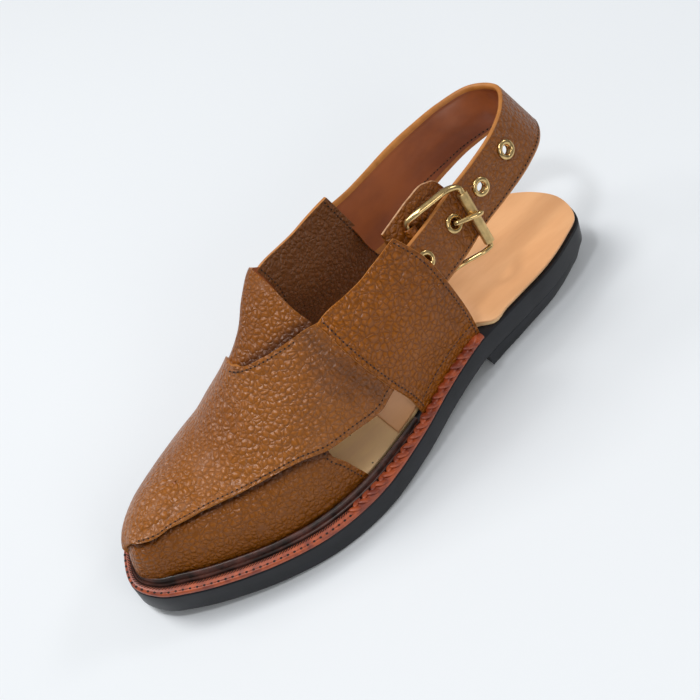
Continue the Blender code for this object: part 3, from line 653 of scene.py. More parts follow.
def spread(tree, value, low, high, first, last):
    return node(
        tree,
        "ShaderNodeMapRange",
        {"Value": value, "From Min": low, "From Max": high, "To Min": first, "To Max": last},
        interpolation_type="SMOOTHSTEP",
    ).outputs["Result"]


def noise(tree, where, scale, detail=2.0, rough=0.5):
    return node(
        tree,
        "ShaderNodeTexNoise",
        {"Vector": where, "Scale": scale, "Detail": detail, "Roughness": rough},
    )


def blend_colour(tree, share, first, last):
    made = node(tree, "ShaderNodeMix", data_type="RGBA")
    for socket, value in ((made.inputs[0], share), (made.inputs[6], first), (made.inputs[7], last)):
        if isinstance(value, bpy.types.NodeSocket):
            tree.links.new(value, socket)
        elif isinstance(value, tuple):
            socket.default_value = (*value, 1.0)
        else:
            socket.default_value = value
    return made.outputs[2]


def maths(tree, operation, first, last=0.0):
    return node(tree, "ShaderNodeMath", {0: first, 1: last}, operation=operation).outputs[0]


def object_spot(tree):
    return node(tree, "ShaderNodeTexCoord").outputs["Object"]


def shaken(tree, spot, scale, amount):
    """Coordinates moved about by noise, so that cells aren't regular."""
    way = noise(tree, spot, scale, 2.0).outputs["Color"]
    centred = node(tree, "ShaderNodeVectorMath", {0: way, 1: (0.5, 0.5, 0.5)}, operation="SUBTRACT")
    moved = node(
        tree, "ShaderNodeVectorMath", {0: centred.outputs[0], "Scale": amount}, operation="SCALE"
    )
    return node(
        tree, "ShaderNodeVectorMath", {0: spot, 1: moved.outputs[0]}, operation="ADD"
    ).outputs[0]


def bumped(tree, shader, height, strength, distance):
    bump = node(
        tree, "ShaderNodeBump", {"Height": height, "Strength": strength, "Distance": distance}
    )
    tree.links.new(bump.outputs["Normal"], shader.inputs["Normal"])


def grained(
    name,
    light,
    dark,
    cell=0.0027,
    depth=0.00095,
    rough=0.34,
    coat=0.06,
    mirror=0.40,
    wear_and_valley_shade=0.26,
    groove=TAN_GROOVE,
):
    """Pebbled leather: soft domes with thin valleys, painted shade in the valleys and a painted
    highlight on the dome tops.
    """
    made, tree, shader = blank(name, rough, 0.0, coat, 0.20)
    shader.inputs["Specular IOR Level"].default_value = mirror
    spot = object_spot(tree)
    moved = shaken(tree, spot, 0.50 / cell, cell * 1.1)
    edge = node(
        tree,
        "ShaderNodeTexVoronoi",
        {"Vector": moved, "Scale": 1 / cell},
        feature="DISTANCE_TO_EDGE",
    ).outputs["Distance"]
    dome = node(
        tree,
        "ShaderNodeTexVoronoi",
        {"Vector": moved, "Scale": 1 / cell, "Smoothness": 1.0},
        feature="SMOOTH_F1",
    ).outputs["Distance"]
    small = noise(tree, moved, 1.9 / cell, 2.0, 0.55).outputs["Fac"]
    fine = noise(tree, spot, 2600, 3.0).outputs["Fac"]
    valley = spread(tree, edge, -0.12, 0.34, 0.0, 1.0)
    height = maths(tree, "MULTIPLY_ADD", small, 0.26)
    tree.links.new(maths(tree, "MULTIPLY", valley, 0.48), height.node.inputs[2])
    lifted = maths(tree, "MULTIPLY_ADD", dome, -0.95)
    tree.links.new(height, lifted.node.inputs[2])
    total = maths(tree, "MULTIPLY_ADD", fine, 0.045)
    tree.links.new(lifted, total.node.inputs[2])
    shade = node(tree, "ShaderNodeAttribute", attribute_name="shade").outputs["Fac"]
    patches = spread(tree, noise(tree, spot, 16, 3.0).outputs["Fac"], 0.30, 0.72, 0.0, 1.0)
    base = blend_colour(tree, patches, dark, light)
    # Painted shade: the grain's valleys are blended towards the groove colour.
    base = blend_colour(tree, spread(tree, edge, 0.0, 0.16, wear_and_valley_shade, 0.0), base, groove)
    # Painted highlight: the dome tops are blended towards a lighter copy of the light colour.
    dome_highlight = spread(tree, dome, 0.05, 0.40, 0.30, 0.0)
    base = blend_colour(tree, dome_highlight, base, tuple(min(1.0, c * 1.30) for c in light))
    # Painted shade from the shade attribute: darker in the creases and in the strip under the over
    # panel's edges.
    deep = spread(tree, shade, 0.0, 1.0, 0.0, 0.85)
    base = blend_colour(tree, deep, base, groove)
    tree.links.new(base, shader.inputs["Base Color"])
    gloss = maths(tree, "MULTIPLY_ADD", patches, -0.06)
    gloss.node.inputs[2].default_value = rough + 0.03
    tree.links.new(gloss, shader.inputs["Roughness"])
    bumped(tree, shader, total, 1.0, depth)
    return made


def plain_leather(name, light, dark, rough, scale, depth=0.00008, specks=0.0, coat=0.0):
    """Smooth leather or board: streaks, pores and optional dark specks."""
    made, tree, shader = blank(name, rough, 0.0, coat, 0.35)
    spot = object_spot(tree)
    long = node(tree, "ShaderNodeMapping", {"Vector": spot, "Scale": scale}).outputs["Vector"]
    broad = noise(tree, long, 1.0, 4.0, 0.6).outputs["Fac"]
    pores = noise(tree, spot, 1500, 3.0, 0.6).outputs["Fac"]
    shade = node(tree, "ShaderNodeAttribute", attribute_name="shade").outputs["Fac"]
    base = blend_colour(tree, spread(tree, broad, 0.30, 0.70, 0.0, 1.0), dark, light)
    base = blend_colour(tree, spread(tree, pores, 0.62, 0.80, 0.0, 0.30), base, dark)
    # Painted shade from the shade attribute, as on the grained leather.
    base = blend_colour(tree, spread(tree, shade, 0.0, 1.0, 0.0, 0.75), base, dark)
    if specks:
        dots = node(
            tree, "ShaderNodeTexVoronoi", {"Vector": spot, "Scale": 150.0}, feature="F1"
        ).outputs["Distance"]
        base = blend_colour(tree, spread(tree, dots, 0.055, 0.085, specks, 0.0), base, HOLE_BROWN)
    tree.links.new(base, shader.inputs["Base Color"])
    height = maths(tree, "ADD", pores, broad)
    bumped(tree, shader, height, 0.6, depth)
    return made


def rubber(name):
    made, tree, shader = blank(name, 0.42, 0.0, 0.06, 0.30)
    shader.inputs["Specular IOR Level"].default_value = 0.32
    spot = object_spot(tree)
    dust = noise(tree, spot, 60, 4.0, 0.6).outputs["Fac"]
    fine = noise(tree, spot, 1400, 3.0, 0.6).outputs["Fac"]
    light = tuple(c * 2.0 for c in SOLE_BLACK)
    base = blend_colour(tree, spread(tree, dust, 0.35, 0.75, 0.0, 1.0), SOLE_BLACK, light)
    tree.links.new(base, shader.inputs["Base Color"])
    height = maths(tree, "MULTIPLY_ADD", dust, 0.5)
    tree.links.new(fine, height.node.inputs[2])
    bumped(tree, shader, height, 0.5, 0.00006)
    return made


def brass(name, rough=0.20, brushed=0.5):
    made, tree, shader = blank(name, rough, 1.0)
    spot = object_spot(tree)
    wear = noise(tree, spot, 240, 4.0, 0.6).outputs["Fac"]
    fine = noise(tree, spot, 3500, 2.0).outputs["Fac"]
    wear_and_valley_shade = tuple(c * 0.72 for c in BRASS)
    base = blend_colour(tree, spread(tree, wear, 0.35, 0.70, 0.0, 1.0), wear_and_valley_shade, BRASS)
    tree.links.new(base, shader.inputs["Base Color"])
    gloss = maths(tree, "MULTIPLY_ADD", wear, 0.16)
    gloss.node.inputs[2].default_value = rough - 0.04
    tree.links.new(gloss, shader.inputs["Roughness"])
    bumped(tree, shader, fine, brushed, 0.00002)
    return made


# Painted shade: needle holes and welt slits are flat near-black pads on the surface, not hollows.
def dark_hole(name):
    made, tree, shader = blank(name, 0.85)
    spot = object_spot(tree)
    dust = noise(tree, spot, 900, 2.0).outputs["Fac"]
    light = tuple(c * 3.0 for c in HOLE_BROWN)
    base = blend_colour(tree, spread(tree, dust, 0.4, 0.7, 0.0, 1.0), HOLE_BROWN, light)
    tree.links.new(base, shader.inputs["Base Color"])
    return made


SKINS = {
    "tan": grained("tan_grain", TAN, TAN_DARK),
    "tan_fine": grained("tan_grain_fine", TAN, TAN_DARK, cell=0.0026, depth=0.00085),
    "tan_under_shaded": grained(
        "tan_grain_under_shaded",
        TAN_UNDER_SHADED,
        TAN_UNDER_SHADED_DARK,
        depth=0.00090,
        rough=0.35,
        coat=0.03,
        mirror=0.31,
    ),
    "tan_inside_shaded": grained(
        "tan_grain_inside_shaded",
        TAN_INSIDE_SHADED,
        TAN_INSIDE_SHADED_DARK,
        cell=0.0024,
        depth=0.00075,
        rough=0.38,
        coat=0.0,
    ),
    "tan_strap": grained(
        "tan_grain_strap",
        TAN_STRAP,
        TAN_DARK,
        cell=0.0030,
        depth=0.00135,
        rough=0.26,
        coat=0.04,
        mirror=0.27,
        wear_and_valley_shade=0.38,
    ),
    "edge": plain_leather("tan_edge", EDGE_TAN, EDGE_DARK, 0.50, (200, 200, 200)),
    "raw": plain_leather("raw_edge", RAW_EDGE, RAW_DARK, 0.75, (400, 400, 400)),
    "lining": plain_leather("red_lining", LINING, LINING_DARK, 0.38, (28, 18, 40), coat=0.25),
    "sock": plain_leather("sock_tan", SOCK_TAN, SOCK_DARK, 0.42, (60, 12, 60), coat=0.15),
    "board": plain_leather("insole_tan", BOARD, BOARD_DARK, 0.62, (50, 16, 50), specks=0.85),
    "welt": plain_leather("welt_red", WELT_RED, WELT_DARK, 0.40, (160, 160, 160), coat=0.25),
    "rand": plain_leather("rand_brown", RAND_BROWN, HOLE_BROWN, 0.34, (120, 120, 120), coat=0.3),
    "sole": rubber("black_rubber"),
    "brass": brass("brass_polished", 0.17, 0.10),
    "brass_matt": brass("brass_brushed", 0.36, 0.5),
    "thread": plain_leather("thread_tan", THREAD_TAN, TAN_GROOVE, 0.6, (300, 300, 300)),
    "thread_red": plain_leather("thread_red", WELT_RED, WELT_DARK, 0.55, (300, 300, 300)),
    "hole": dark_hole("needle_hole"),
}


def shaped(name, points, faces, skins, kinds=None, shade=None, angle=40, replaces=()):
    """A piece from points and faces, riding on the body, with its finishes."""
    mesh = bpy.data.meshes.new(name)
    mesh.from_pydata(np.asarray(points, float).tolist(), [], faces)
    for skin in skins:
        mesh.materials.append(SKINS[skin])
    if kinds is not None:
        mesh.polygons.foreach_set("material_index", np.asarray(kinds, np.int32))
    if shade is not None:
        values = mesh.attributes.new("shade", "FLOAT", "POINT")
        values.data.foreach_set("value", np.asarray(shade, np.float32).ravel())
    work = bmesh.new()
    work.from_mesh(mesh)
    bmesh.ops.remove_doubles(work, verts=work.verts, dist=0.000004)
    bmesh.ops.recalc_face_normals(work, faces=work.faces)
    work.to_mesh(mesh)
    work.free()
    obj = bpy.data.objects.new(name, mesh)
    bpy.context.scene.collection.objects.link(obj)
    mesh.shade_smooth()
    mesh.set_sharp_from_angle(angle=np.radians(angle))
    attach(obj, "root")
    if replaces:
        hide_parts(*replaces)
    return obj


def settle(obj):
    """Applies the modifiers of a piece."""
    graph = bpy.context.evaluated_depsgraph_get()
    mesh = bpy.data.meshes.new_from_object(obj.evaluated_get(graph))
    obj.modifiers.clear()
    old = obj.data
    obj.data = mesh
    bpy.data.meshes.remove(old)


def grid_faces(rows, columns, start=0):
    faces = []
    for i in range(rows - 1):
        for j in range(columns - 1):
            a = start + i * columns + j
            faces.append((a, a + columns, a + columns + 1, a + 1))
    return faces


def leather_sheet(name, grids, shades, thick, skins, replaces=(), round_edge=0.0006):
    """Sheets of points with real thickness and softly rounded cut edges."""
    points = []
    faces = []
    shade = []
    for grid, dark in zip(grids, shades):
        rows, columns = grid.shape[:2]
        faces += grid_faces(rows, columns, len(points))
        points += list(grid.reshape(-1, 3))
        shade += list(np.asarray(dark).ravel())
    obj = shaped(name, place(points), faces, skins, None, shade, 60, replaces)
    up = sum(face.normal.z * face.area for face in obj.data.polygons)
    if up < 0:
        obj.data.flip_normals()
    skin = obj.modifiers.new("skin", "SOLIDIFY")
    skin.thickness = thick
    skin.offset = -1
    skin.use_rim = True
    skin.use_quality_normals = True
    skin.material_offset_rim = 1
    skin.material_offset = 2
    bevel = obj.modifiers.new("bevel", "BEVEL")
    bevel.width = round_edge
    bevel.segments = 3
    bevel.limit_method = "ANGLE"
    bevel.angle_limit = np.radians(50)
    settle(obj)
    obj.data.shade_smooth()
    return obj


def trough(reach, girth, path, width):
    """Bell-shaped share of a line drawn on the surface."""
    along = np.asarray(reach, float)
    high = np.asarray(girth, float) * GIRTH_RUN
    rows = np.array(path, float)
    near = np.full(np.broadcast(along, high).shape, 1e9)
    for first, last in zip(rows[:-1], rows[1:]):
        start = np.array([first[0], first[1] * GIRTH_RUN])
        way = np.array([last[0], last[1] * GIRTH_RUN]) - start
        share = ((along - start[0]) * way[0] + (high - start[1]) * way[1]) / (way @ way)
        share = np.clip(share, 0, 1)
        dx = along - start[0] - way[0] * share
        dy = high - start[1] - way[1] * share
        near = np.minimum(near, dx * dx + dy * dy)
    return np.exp(-near / (2 * width * width))


# Creases in the over panel: path of (reach, girth), width, depth, and darkness of the shade painted in
# them.
OVER_CREASES = (
    (((0.1425, 0.64), (0.1405, 0.50), (0.1435, 0.36), (0.1470, 0.27)), 0.0040, 0.0010, 0.50),
    (((0.1330, 0.60), (0.1310, 0.47), (0.1350, 0.36)), 0.0022, 0.0004, 0.35),
    (((0.1180, 0.80), (0.0950, 0.70), (0.0700, 0.66)), 0.0045, 0.0005, 0.10),
    (((0.0950, 0.93), (0.0700, 0.84), (0.0450, 0.80)), 0.0050, 0.0005, 0.06),
    (((-0.0700, 0.55), (-0.0500, 0.80), (-0.0300, 0.95)), 0.0060, 0.0006, 0.05),
    (((-0.0950, 0.45), (-0.0850, 0.75), (-0.0700, 0.97)), 0.0060, 0.0006, 0.05),
)
UNDER_CREASES = (
    (((0.0850, 0.05), (0.0800, 0.25), (0.0700, 0.45)), 0.0045, 0.0004, 0.05),
    (((0.0550, 0.05), (0.0520, 0.25), (0.0480, 0.45)), 0.0045, 0.0004, 0.05),
)
STRAP_CREASES = (
    (((0.1560, 0.60), (0.1620, 0.45), (0.1600, 0.30)), 0.0030, 0.0005, 0.10),
    (((0.1680, 0.64), (0.1720, 0.50), (0.1680, 0.36)), 0.0030, 0.0004, 0.06),
    (((0.1850, 0.62), (0.1880, 0.46), (0.1840, 0.32)), 0.0032, 0.0004, 0.06),
)
# Over panel's cut edges: paths of (reach, girth) that stand proud, with width
# and lift, and the shaded strip that they leave on the panel below.
FRONT_EDGE = tuple((reach * LENGTH, girth) for reach, girth in OVER_FRONT[:9])
REAR_EDGE = tuple((reach * LENGTH, girth) for reach, girth in OVER_REAR[:6])
TOE_CORNER = (-0.0075, 0.26, 0.0110, 0.0026)
EDGE_LIFT = (0.0040, 0.0010)
TOE_LIFT = (0.0, 0.075, 0.0012)
UNDER_DIP = (0.0028, 0.0010, 1.00)
TOE_BULGE = (-0.004, 0.014, 0.022, 0.0018)


def creased(reach, girth, creases):
    """(depth, darkness of painted shade) of all the creases of a panel."""
    depth = 0.0
    dark = 0.0
    for path, width, deep, shade in creases:
        bell = trough(reach, girth, path, width)
        depth = depth + bell * deep
        dark = dark + bell * shade
    return depth, dark


def over_out(reach, girth):
    depth, _ = creased(reach, girth, OVER_CREASES)
    at, high, width, lift = TOE_CORNER
    near = (reach - at) ** 2 + ((girth - high) * GIRTH_RUN) ** 2
    width_in, rise = EDGE_LIFT
    start, end, more = TOE_LIFT
    front = trough(reach, girth, FRONT_EDGE, width_in)
    rear = trough(reach, girth, REAR_EDGE, width_in)
    toe = np.clip((end - reach) / (end - start), 0, 1) * (reach >= start - 0.02)
    lift_all = lift * np.exp(-near / (2 * width * width)) + front * (rise + more * toe) + rear * rise
    return OVER_OUT - depth + lift_all


def under_out(reach, girth):
    depth, _ = creased(reach, girth, UNDER_CREASES)
    width, deep, _ = UNDER_DIP
    edge = np.maximum(trough(reach, girth, FRONT_EDGE, width), trough(reach, girth, REAR_EDGE, width))
    at, wide, high, swell = TOE_BULGE
    bulge = np.exp(-(((reach - at) / wide) ** 2) / 2 - ((girth * GIRTH_RUN / high) ** 2) / 2)
    return UNDER_OUT - depth - edge * deep + bulge * swell


def under_shade(reach, girth):
    width, _, dark = UNDER_DIP
    edge = np.maximum(trough(reach, girth, FRONT_EDGE, width), trough(reach, girth, REAR_EDGE, width))
    return edge * dark


def spots_of(reach, girth, out, creases):
    """Grid points of the surface and their darkness of painted shade, in the creases and, on the under
    panel, under the over panel's edges.
    """
    reach = np.asarray(reach, float)
    girth = np.asarray(girth, float) + 0 * reach
    _, dark = creased(reach, girth, creases)
    if out is under_out:
        dark = dark + under_shade(reach, girth)
    return wall_out(reach, girth, out(reach, girth)), dark + 0 * reach


def roof(lateral_rear, medial_rear, lateral_foot, medial_foot, out, creases):
    """Sections from the lateral side over the crown to the medial side."""
    rise = np.linspace(0, 1, ROWS)
    end = lateral_rear(1.0)
    medial_end = medial_rear(1.0)
    points = []
    darks = []
    for u in np.linspace(0, 1, SECTIONS):
        first = end * u
        low = lateral_foot(first)
        girth = low + (1 - low) * rise
        lateral, dark = spots_of(np.maximum(u * lateral_rear(girth), 1e-6), girth, out, creases)
        twin = crown_match(np.array(first))
        fit = u * (medial_end - crown_match(np.array(end)))
        low = medial_foot(twin)
        girth = low + (1 - low) * rise
        bend = u * (medial_rear(girth) - medial_end)
        reach = -np.maximum(twin + fit + bend, 1e-6)
        medial, shade = spots_of(reach, girth, out, creases)
        crown = (lateral[-1] + medial[-1]) / 2
        points.append(np.concatenate([lateral[:-1], [crown], medial[-2::-1]]))
        darks.append(np.concatenate([dark[:-1], [0.0], shade[-2::-1]]))
    return eased(np.array(points)), np.array(darks)


def eased(grid):
    """Softens the line where the two sides meet over the crown."""
    middle = grid.shape[1] // 2
    window = 16
    share = np.clip(1 - np.abs(np.arange(grid.shape[1]) - middle) / window, 0, 1)[None, 1:-1, None]
    ramp = np.clip((np.linspace(0, 1, len(grid)) - 0.10) / 0.25, 0, 1)[:, None, None]
    for _ in range(30):
        mean = (grid[:, :-2] + grid[:, 2:]) / 2
        grid[:, 1:-1] += (mean - grid[:, 1:-1]) * share * ramp * 0.5
    return grid


def no_cut(reach):
    return 0.0


def build_under_panel():
    def lateral_rear(girth):
        return column(UNDER_LATERAL_REAR, 0, 1, girth) * LENGTH

    def medial_rear(girth):
        return column(UNDER_MEDIAL_REAR, 0, 1, girth) * LENGTH

    grid, dark = roof(lateral_rear, medial_rear, no_cut, no_cut, under_out, UNDER_CREASES)
    leather_sheet("under_panel", [grid], [dark], UNDER_SKIN, ("tan_under_shaded", "edge", "lining"), ("upper",))


def over_main():
    front = OVER_REAR[0][0] * LENGTH

    def lateral_rear(girth):
        return front + 0 * girth

    def medial_rear(girth):
        return crown_match(np.array(front)) + 0 * girth

    def lateral_foot(reach):
        return column(OVER_FRONT, 0, 1, reach / LENGTH)

    def medial_foot(reach):
        return column(OVER_TOE, 0, 1, reach / LENGTH)

    return roof(lateral_rear, medial_rear, lateral_foot, medial_foot, over_out, OVER_CREASES)


def build_over_panel():
    main, main_dark = over_main()
    rise = np.linspace(0, 1, ROWS)
    wing = []
    wing_dark = []
    for reach in np.linspace(OVER_REAR[0][0], OVER_REAR[-1][0], 48):
        low = column(OVER_FRONT, 0, 1, reach)
        high = column(OVER_REAR, 0, 1, reach)
        girth = low + (high - low) * rise
        points, dark = spots_of(np.full(ROWS, reach * LENGTH), girth, over_out, OVER_CREASES)
        wing.append(points)
        wing_dark.append(dark)
    wing = np.array(wing)
    wing[0] = main[-1, :ROWS]
    leather_sheet(
        "over_panel",
        [main, wing],
        [main_dark, np.array(wing_dark)],
        OVER_SKIN,
        ("tan", "edge", "lining"),
        ("upper",),
    )


def strap_spot(edges, top, side, share, rise):
    """(reach, girth) of a side strap at a share of its width and height."""
    girth = rise * column(top, 0, 1, share)
    front = column(edges, 0, 1, rise) * LENGTH
    rear = column(edges, 0, 2, rise) * LENGTH
    return side * (front + (rear - front) * share), girth


def build_side_strap(name, edges, top, side, out, creases):
    rise = np.linspace(0, 1, 90)
    grid = []
    darks = []
    for share in np.linspace(0, 1, 70):
        reach, girth = strap_spot(edges, top, side, share, rise)
        depth, dark = creased(reach, girth, creases)
        grid.append(wall_out(reach, girth, out - depth))
        darks.append(dark + 0 * reach)
    # The medial strap leans out over its foot, so its inner face is the upper one.
    skins = ("tan_strap", "edge", "tan_inside_shaded")[::side]
    leather_sheet(name, [np.array(grid)], [np.array(darks)], STRAP_SKIN, skins, ("upper",), 0.0008)


def pads(name, middles, halves, skin, around=8, rings=5):
    """Many small rounded pieces: middles, and three half axes each."""
    slope = np.linspace(0, np.pi, rings + 2)[1:-1]
    turn = np.linspace(0, 2 * np.pi, around, endpoint=False)
    unit = [(1.0, 0.0, 0.0)]
    for a in slope:
        unit += [(np.cos(a), np.sin(a) * np.cos(b), np.sin(a) * np.sin(b)) for b in turn]
    unit.append((-1.0, 0.0, 0.0))
    unit = np.array(unit)
    pattern = []
    for j in range(around):
        k = (j + 1) % around
        pattern.append((0, 1 + j, 1 + k))
        for r in range(rings - 1):
            a = 1 + r * around
            pattern.append((a + j, a + around + j, a + around + k, a + k))
        last = 1 + (rings - 1) * around
        pattern.append((len(unit) - 1, last + k, last + j))
    middles = np.asarray(middles, float)
    halves = np.asarray(halves, float)
    points = middles[:, None, :] + np.einsum("pa,nac->npc", unit, halves)
    faces = []
    for n in range(len(middles)):
        faces += [tuple(n * len(unit) + i for i in face) for face in pattern]
    return shaped(name, points.reshape(-1, 3), faces, (skin,))


def spaced(points, normals, pitch):
    """Evenly spaced (point, along, normal) on a line."""
    run = np.concatenate([[0], np.cumsum(np.linalg.norm(np.diff(points, axis=0), axis=1))])
    count = max(int(run[-1] / pitch), 1)
    at = (np.arange(count) + 0.5) * run[-1] / count
    ahead = np.gradient(points, axis=0)

    def read(values):
        return np.stack([np.interp(at, run, values[:, k]) for k in range(3)], -1)

    def unit(values):
        return values / (np.linalg.norm(values, axis=-1, keepdims=True) + 1e-12)

    normal = unit(read(normals))
    along = unit(read(ahead))
    along = unit(along - normal * (along * normal).sum(-1, keepdims=True))
    return read(points), along, normal


def on_wall(reach, girth, out):
    """Points and normals in the part's frame along a line on the surface."""
    low = place(wall_out(reach, girth, out))
    return low, place(wall_out(reach, girth, out + 0.001)) - low


def seam(name, points, normals, pitch=PITCH, thread="thread", size=1.0):
    """A row of thread stitches with a needle hole between each two."""
    middle, along, normal = spaced(points, normals, pitch)
    across = np.cross(normal, along)
    half = pitch * 0.36
    halves = np.stack([along * half, across * THREAD * size, normal * THREAD * size], 1)
    pads(name + "_thread", middle - normal * 0.00008, halves, thread, 6, 3)
    # Each needle hole is a flat pad of painted shade.
    holes = middle + along * pitch / 2
    wide = HOLE * size
    halves = np.stack([along * wide * 1.25, across * wide, normal * 0.00016], 1)
    pads(name + "_holes", holes, halves, "hole", 7, 3)


def build_seams():
    """Stitching on the panels and side straps, a little way inside the edges."""
    share = np.linspace(0.008, 1, 300)
    reach = share * OVER_FRONT[-1][0]
    girth = column(OVER_FRONT, 0, 1, reach) + SEAM_IN / GIRTH_RUN
    reach = reach * LENGTH
    keep = reach < 0.1530
    points, normals = on_wall(reach[keep], girth[keep], over_out(reach[keep], girth[keep]))
    seam("over_front_seam", points, normals)
    girth = np.linspace(0.655, 0.98, 160)
    rows = np.array(OVER_REAR)[::-1]
    reach = cubic(rows[:, 1], rows[:, 0], girth) * LENGTH - SEAM_IN
    points, normals = on_wall(reach, girth, over_out(reach, girth))
    seam("over_rear_seam", points, normals)
    girth = np.linspace(0.035, 0.345, 120)
    reach = column(UNDER_LATERAL_REAR, 0, 1, girth) * LENGTH - SEAM_IN
    points, normals = on_wall(reach, girth, under_out(reach, girth))
    seam("cut_out_seam", points, normals)
    lateral = (LATERAL_STRAP, LATERAL_TOP, 1, LATERAL_OUT, STRAP_CREASES)
    for name, share, low in (("lateral_front_seam", 0.045, 0.06), ("lateral_rear_seam", 0.955, 0.02)):
        strap_seam(name, lateral, share, np.linspace(low, 0.97, 160))
    share = np.linspace(0.06, 0.955, 160)
    strap_seam("lateral_foot_seam", lateral, share, 0.115 + 0.035 * np.sin(np.pi * share))
    medial = (MEDIAL_STRAP, MEDIAL_TOP, -1, MEDIAL_OUT, ())
    for name, share in (("medial_front_seam", 0.05), ("medial_rear_seam", 0.95)):
        strap_seam(name, medial, share, np.linspace(0.02, 0.97, 160))


def strap_seam(name, strap, share, rise):
    """Stitches along shares of a side strap's width and height."""
    edges, top, side, out, creases = strap
    reach, girth = strap_spot(edges, top, side, share + 0 * rise, rise)
    depth, _ = creased(reach, girth, creases)
    seam(name, *on_wall(reach, girth, out - depth + 0 * reach))


def swept(name, rings, skins, ring_kinds, closed=False, angle=40, replaces=()):
    """A skin over rings of points; ring_kinds picks each strip's finish."""
    rings = np.asarray(rings, float)
    count, size = rings.shape[:2]
    faces = []
    kinds = []
    for k in range(count - 1 + closed):
        for j in range(size):
            a = k * size + j
            b = k * size + (j + 1) % size
            c = (k + 1) % count * size
            faces.append((a, b, c + (j + 1) % size, c + j))
            kinds.append(ring_kinds[j])
    if not closed:
        faces.append(tuple(range(size)))
        faces.append(tuple(range((count - 1) * size, count * size)))
        kinds += [ring_kinds[0], ring_kinds[0]]
    return shaped(name, rings.reshape(-1, 3), faces, skins, kinds, None, angle, replaces)


def sole_body(name, rings, skin, replaces):
    """A sole layer: rings of (t, lateral, medial, z), from under to top."""
    points = []
    for t, lateral, medial, z in rings:
        points.append(np.stack([lateral, t, z], -1))
        points.append(np.stack([medial, t, z], -1))
    points = np.array(points)
    count = points.shape[1]
    faces = []
    loop = list(range(count)) + list(range(2 * count - 1, count - 1, -1))
    for r in range(len(rings) - 1):
        low = r * 2 * count
        high = low + 2 * count
        for a, b in zip(loop, loop[1:] + loop[:1]):
            faces.append((low + a, low + b, high + b, high + a))
    last = (len(rings) - 1) * 2 * count
    cap = []
    for start in (0, last):
        for k in range(count - 1):
            cap.append((start + k, start + k + 1, start + count + k + 1, start + count + k))
    return shaped(name, place(points.reshape(-1, 3)), faces + cap, (skin,), replaces=replaces)


def rounded_levels(low, high, radius, steps=4):
    """(inset, height) up a side whose lower and upper edges are rounded."""
    turn = np.linspace(0, np.pi / 2, steps)
    lower = [(radius * (1 - np.sin(a)), low + radius * (1 - np.cos(a))) for a in turn]
    upper = [(radius * (1 - np.cos(a)), high - radius * (1 - np.sin(a))) for a in turn]
    return lower + upper


def build_soles():
    run = stations(0, 1, SOLE_RUN)
    zero = np.zeros(OUTLINE_POINTS)
    rings = []
    for inset, height in rounded_levels(0.0, OUTSOLE, EDGE_ROUND):
        rings.append(sole_ring(zero + inset, lambda t, up=height: sole_bottom(t) + up, run))
    sole_body("sole_unit", rings, "sole", ("outsole",))
    _, edge_t = outline_loop()
    back = np.clip(1 - edge_t / HEEL_BREAST, 0, 1)
    top = ARCH - GAP
    rings = []
    for inset, z in rounded_levels(0.0, top, EDGE_ROUND):
        low = 1 - z / top
        edge = HEEL_INSET + inset + HEEL_FLARE * low + back * HEEL_TAPER * low
        part = short_run(edge, HEEL_BREAST - BREAST_SLANT * low, 70)
        t, lateral, medial = sides_at(edge, part)
        rings.append((t, lateral, medial, np.full(len(t), z)))
    sole_body("heel_block", rings, "sole", ("heel_lift",))
    inset = insole_inset() + 0.0014 * np.clip((0.30 * LENGTH - edge_t) / 0.02, 0, 1)
    levels = ((0.0, GAP), (0.0, INSOLE - 0.0006), (0.0002, INSOLE - 0.0002), (0.0006, INSOLE))
    rings = [sole_ring(inset + more, lambda t, up=rise: sole_top(t) + up, run) for more, rise in levels]
    sole_body("insole_sheet", rings, "board", ("insole",))
    inset = insole_inset() + SOCK_INSET
    low = INSOLE + GAP
    high = low + SOCK
    rings = []
    for more, rise in ((0.0, low), (0.0, high - 0.0005), (0.00015, high - 0.00015), (0.0005, high)):
        part = short_run(inset + more, SOCK_FRONT - more, 90)
        t, lateral, medial = sides_at(inset + more, part)
        rings.append((t, lateral, medial, sole_top(t) + rise))
    sole_body("sock_pad", rings, "sock", ("heel_sock",))


def edge_strip(name, start, end, section, skins, replaces, steps=420):
    """A strip round the forefoot from section's (inset, height) points."""
    x, t = outline_loop()
    tip = int(np.argmax(t))
    side = np.arange(len(t)) <= tip
    inside = np.where(side, t > start * LENGTH, t > end * LENGTH)
    which = np.flatnonzero(inside)
    pick = which[np.linspace(0, len(which) - 1, steps).round().astype(int)]
    rings = []
    for inset, height in section:
        ix, it = inset_loop(inset)
        rings.append(np.stack([ix, it, sole_top(it) + height], -1)[pick])
    rings = place(np.stack(rings, 1))
    return swept(name, rings, skins, [0] * len(section), angle=50, replaces=replaces)


RAND_PROFILE = (
    (0.00, 0.06),
    (0.00, 0.50),
    (0.05, 0.62),
    (0.14, 0.70),
    (0.26, 0.68),
    (0.34, 0.56),
    (0.40, 0.54),
    (0.46, 0.68),
    (0.56, 0.88),
    (0.68, 1.00),
    (0.82, 1.02),
    (0.94, 0.92),
    (1.00, 0.76),
    (1.00, 0.06),
)


def build_strips():
    outer = margin() * WELT_OUT
    inner = margin() * WELT_IN
    section = (
        (outer, GAP),
        (inner, GAP),
        (inner, WELT),
        (outer + 0.0009, WELT),
        (outer + 0.0003, WELT - 0.0003),
        (outer, WELT - 0.0008),
    )
    edge_strip("welt_strip", WELT_START, WELT_END, section, ("welt",), ("welt",))
    outer = margin() * RAND_OUT
    inner = margin() - 0.0003
    section = [(outer + (inner - outer) * u, GAP + (RAND_HIGH - GAP) * v) for u, v in RAND_PROFILE]
    edge_strip("rand_bead", RAND_START, RAND_END, section, ("rand",), ("rand",))


